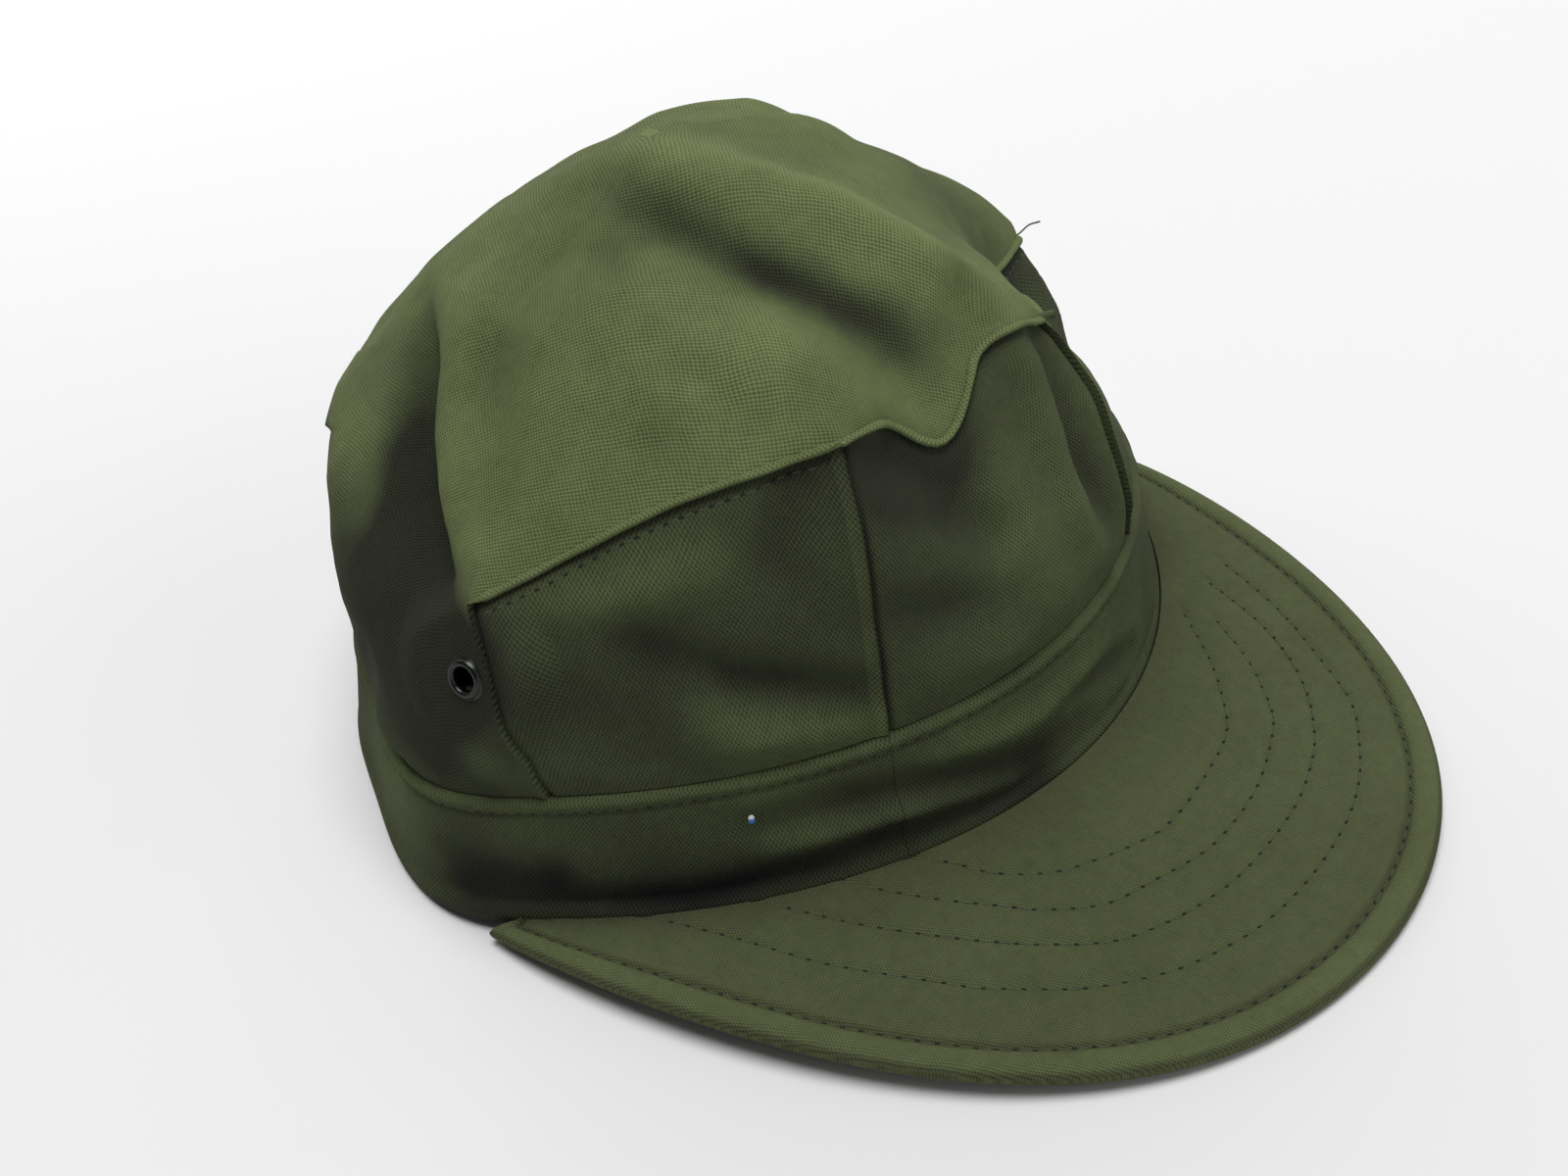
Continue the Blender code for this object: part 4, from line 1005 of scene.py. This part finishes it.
def cloth_material(name, fresh, worn_and_painted_light, weave, weave_share):
    """Cotton with a raised grain in staggered rows."""
    made, nodes = finish_of(name, {"Roughness": 0.92, "Specular IOR Level": 0.10})

    def node(kind, inputs, **settings):
        added = nodes.new("ShaderNode" + kind)
        for key, value in settings.items():
            setattr(added, key, value)
        return feed(added, inputs)

    def reckon(operation, *values):
        return node("Math", dict(enumerate(values)), operation=operation).outputs[0]

    uv = node("UVMap", {}, uv_map="cloth").outputs[0]
    place = node("TexCoord", {}).outputs["Object"]
    warp = node("TexNoise", {"Scale": 1.2, "Vector": uv}).outputs["Color"]
    warped = node("VectorMath", {0: warp, 1: (0.12, 0.12, 0.0), 2: uv}, operation="MULTIPLY_ADD")
    split = node("SeparateXYZ", {0: warped.outputs[0]}).outputs
    waves = [reckon("COSINE", reckon("MULTIPLY", split[k], 2.0 * math.pi * 10.0 / weave[k])) for k in (0, 1)]
    grain = reckon("MULTIPLY_ADD", reckon("MULTIPLY", *waves), 0.5, 0.5)
    tint = reckon("MULTIPLY", grain, weave_share)
    specks = [node("TexNoise", {"Scale": scale, "Detail": detail, "Vector": place}).outputs["Fac"]
              for scale, detail in SPECKS]
    for speck in specks:
        tint = reckon("ADD", tint, reckon("MULTIPLY", speck, SPECK_SHARE))
    tint = reckon("SUBTRACT", tint, TINT_OFFSET)
    # Unclamped mix by wear and painted light, so values below 0 paint shade darker than the fresh colour
    wear_and_painted_light = node("Attribute", {}, attribute_name="wear_and_painted_light").outputs["Fac"]
    ends = [node("Mix", {0: wear_and_painted_light, MIX_A: (*fresh[k], 1.0), MIX_B: (*worn_and_painted_light[k], 1.0)}, data_type="RGBA",
                 clamp_factor=False).outputs[MIX_RESULT] for k in (0, 1)]
    colour = node("Mix", {0: tint, MIX_A: ends[0], MIX_B: ends[1]}, data_type="RGBA").outputs[MIX_RESULT]
    height = reckon("ADD", grain, reckon("MULTIPLY", specks[0], 0.5))
    bump = node("Bump", {"Strength": 0.8, "Distance": 0.00025, "Height": height}).outputs[0]
    feed(nodes["Principled BSDF"], {"Base Color": colour, "Normal": bump})
    return made


def metal_material():
    """Dark gunmetal, rubbed brighter in places."""
    made, nodes = finish_of("gunmetal", {"Roughness": 0.32, "Metallic": 1.0})
    tone_shift = feed(nodes.new("ShaderNodeTexNoise"), {"Scale": 700.0}).outputs["Fac"]
    ramp = feed(nodes.new("ShaderNodeValToRGB"), {"Fac": tone_shift})
    for stop, colour in zip(ramp.color_ramp.elements, GUNMETAL):
        stop.color = (*colour, 1.0)
    feed(nodes["Principled BSDF"], {"Base Color": ramp.outputs["Color"]})
    return made


def dress(piece, material, slot, *replaced):
    """Gives a piece its finish, its body and the solids that it stands for; the slot is not used."""
    piece.data.materials.append(material)
    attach(piece, "root")
    if replaced:
        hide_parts(*replaced)


def set_camera():
    """The camera at the photo's angle."""
    azimuth, elevation, roll, distance = math.radians(-41.6), math.radians(39.2), math.radians(-7.94), 0.481
    back = Vector((math.sin(azimuth) * math.cos(elevation), -math.cos(azimuth) * math.cos(elevation),
                   math.sin(elevation)))
    right = Vector((math.cos(azimuth), math.sin(azimuth), 0.0))
    up = back.cross(right)
    x = right * math.cos(roll) + up * math.sin(roll)
    y = up * math.cos(roll) - right * math.sin(roll)
    matrix = Matrix((x, y, back)).transposed().to_4x4()
    matrix.translation = back * distance + Vector(SHIFT)
    data = bpy.data.cameras.new("camera")
    data.sensor_width = 36.0
    data.lens = 46.37
    data.shift_x = 0.0151
    data.shift_y = 0.0316
    data.clip_start = 0.01
    camera = add_object("camera", data)
    camera.matrix_world = matrix
    bpy.context.scene.camera = camera


def set_stage():
    """A pale floor, soft lights and a pale surrounding."""
    work = bmesh.new()
    bmesh.ops.create_grid(work, x_segments=1, y_segments=1, size=FLOOR_SIZE)
    mesh = bpy.data.meshes.new("floor")
    work.to_mesh(mesh)
    work.free()
    mesh.materials.append(plain_material("floor_white", FLOOR_COLOUR, 0.9))
    add_object("floor", mesh)
    world = bpy.data.worlds.new("pale")
    world.use_nodes = True
    nodes = world.node_tree.nodes
    direction = nodes.new("ShaderNodeTexCoord").outputs["Generated"]
    height = feed(nodes.new("ShaderNodeSeparateXYZ"), {0: direction}).outputs["Z"]
    fall = feed(nodes.new("ShaderNodeMapRange"), {
        "Value": height, "From Min": 0.04, "From Max": 0.34, "To Min": 0.80, "To Max": 0.02})
    feed(nodes["Background"], {"Color": (0.96, 0.98, 1.0, 1.0), "Strength": fall.outputs["Result"]})
    bpy.context.scene.world = world
    overhead = bpy.data.lights.new("top_light", "SUN")
    overhead.energy = 2.70
    overhead.angle = math.radians(39.0)
    add_object("top_light", overhead).location = (0.0, 0.0, 1.3)
    for name, place, power in LIGHTS:
        data = bpy.data.lights.new(name, "AREA")
        data.shape = "SQUARE"
        data.size = LIGHT_SIZE
        data.energy = power
        lamp = add_object(name, data)
        lamp.location = place
        lamp.rotation_euler = (LIGHT_TARGET - Vector(place)).to_track_quat("-Z", "Y").to_euler()
    bpy.context.scene.view_settings.view_transform = "Standard"


set_camera()
set_stage()
crown_cloth = cloth_material("cotton", FRESH, WORN_AND_HIGHLIGHT, WEAVE, 0.95)
band_cloth = cloth_material("cotton_band", FRESH, WORN_AND_HIGHLIGHT, WEAVE, 0.8)
visor_cloth = cloth_material("cotton_visor", VISOR_FRESH, VISOR_HIGHLIGHT_AND_MOTTLE, VISOR_WEAVE, 0.8)
metal = metal_material()
thread = plain_material("thread", (0.055, 0.066, 0.028), 0.9)
# Needle holes: very dark blobs that paint the shade inside each hole
hole_shade_material = plain_material("needle_hole_painted_shade", (0.006, 0.008, 0.004), 0.95)
pale = plain_material("pale_fleck", (0.75, 0.80, 0.85), 0.6)
blue = plain_material("blue_fleck", (0.05, 0.16, 0.45), 0.6)

crown, columns_at, edge_line, edge_normals = build_crown()
dress(crown["crown_top"], crown_cloth, "cotton_top", "crown_top")
for panel in PANELS:
    dress(crown[panel], crown_cloth, "cotton", panel)
dress(build_lip(columns_at, edge_line, edge_normals), crown_cloth, "cotton_top")
band = build_band()
dress(band, band_cloth, "cotton", "headband")
visor, hem_groove = build_visor()
dress(visor, visor_cloth, "cotton", "visor")
dress(build_eyelet(1.0), metal, "eyelet_metal", "eyelet_left")
dress(build_eyelet(-1.0), metal, "eyelet_metal", "eyelet_right")

# Rows of stitches: the cloth, and the rays that find each stitch's place on it
sewn = {"crown": [], "visor": [], "headband": []}
panel_tree = cloth_tree(*(crown[panel] for panel in PANELS))
for side in (-1.0, 1.0):
    turns = side * wrap(columns_at)
    order = [k for k in np.argsort(turns) if FRONT_SEAM_DEG + 1.0 < turns[k] < SIDE_SEAM_DEG - 1.0]
    spots = resampled(edge_line[order], WELT_PITCH)
    away = unit(spots * LEVEL)
    sewn["crown"].append((panel_tree, spots + away * 6.0 * MM + DOWN * 3.0 * MM, -away))
visor_tree = cloth_tree(visor)
visor_lines = [(smoothed(np.array(row) * MM), VISOR_PITCH) for row in VISOR_ROWS]
for line, pitch in visor_lines + [(hem_groove[6:-6, :2], HEM_PITCH)]:
    spots = np.pad(resampled(line, pitch), ((0, 0), (0, 1)), constant_values=0.1)
    sewn["visor"].append((visor_tree, spots, np.tile(DOWN, (len(spots), 1)), 0.3))
band_tree = cloth_tree(band)
welt_degs = np.linspace(-180.0, 180.0, 721)
welt_height = base_line(wrap(welt_degs)) + BAND_HEIGHT - WELT_HEIGHT
spots = resampled(ring(welt_degs, BAND_LEAN, welt_height), WELT_PITCH)
away = unit(spots * LEVEL)
sewn["headband"].append((band_tree, spots + away * 10.0 * MM, -away))
for name, rows in sewn.items():
    found = [stitch_spots(*sewn_places(*row)) for row in rows]
    dress(build_blobs(name + "_stitches", [t for row in found for t in row[0]]), thread, "cotton")
    dress(build_blobs(name + "_needle_hole_shadows", [h for row in found for h in row[1]]), hole_shade_material, "cotton")

for name, seam, shape, radius in (("loose_thread", SIDE_SEAM_DEG, LOOSE_THREAD, THREAD_RADIUS),
                                  ("seam_end", FRONT_SEAM_DEG, SEAM_END, SEAM_END_RADIUS)):
    corner = edge_line[np.argmin(np.abs(wrap(columns_at) - seam))]
    dress(build_strand(name, corner + np.array(shape) * MM, radius), thread, "cotton")
hit, normal = band_tree.find_nearest(Vector(FLECK_PLACE))[:2]
fleck, face_way = np.array(hit), np.array(normal)
level_way = unit(np.cross(face_way, (0.0, 0.0, 1.0)))
steep_way = np.cross(level_way, face_way)
for name, rise, paint in (("pale_fleck", 0.5, pale), ("blue_fleck", -0.3, blue)):
    spot = (fleck + steep_way * rise * MM, steep_way, face_way, *FLECK_SIZE)
    dress(build_blobs(name, [spot]), paint, "cotton")
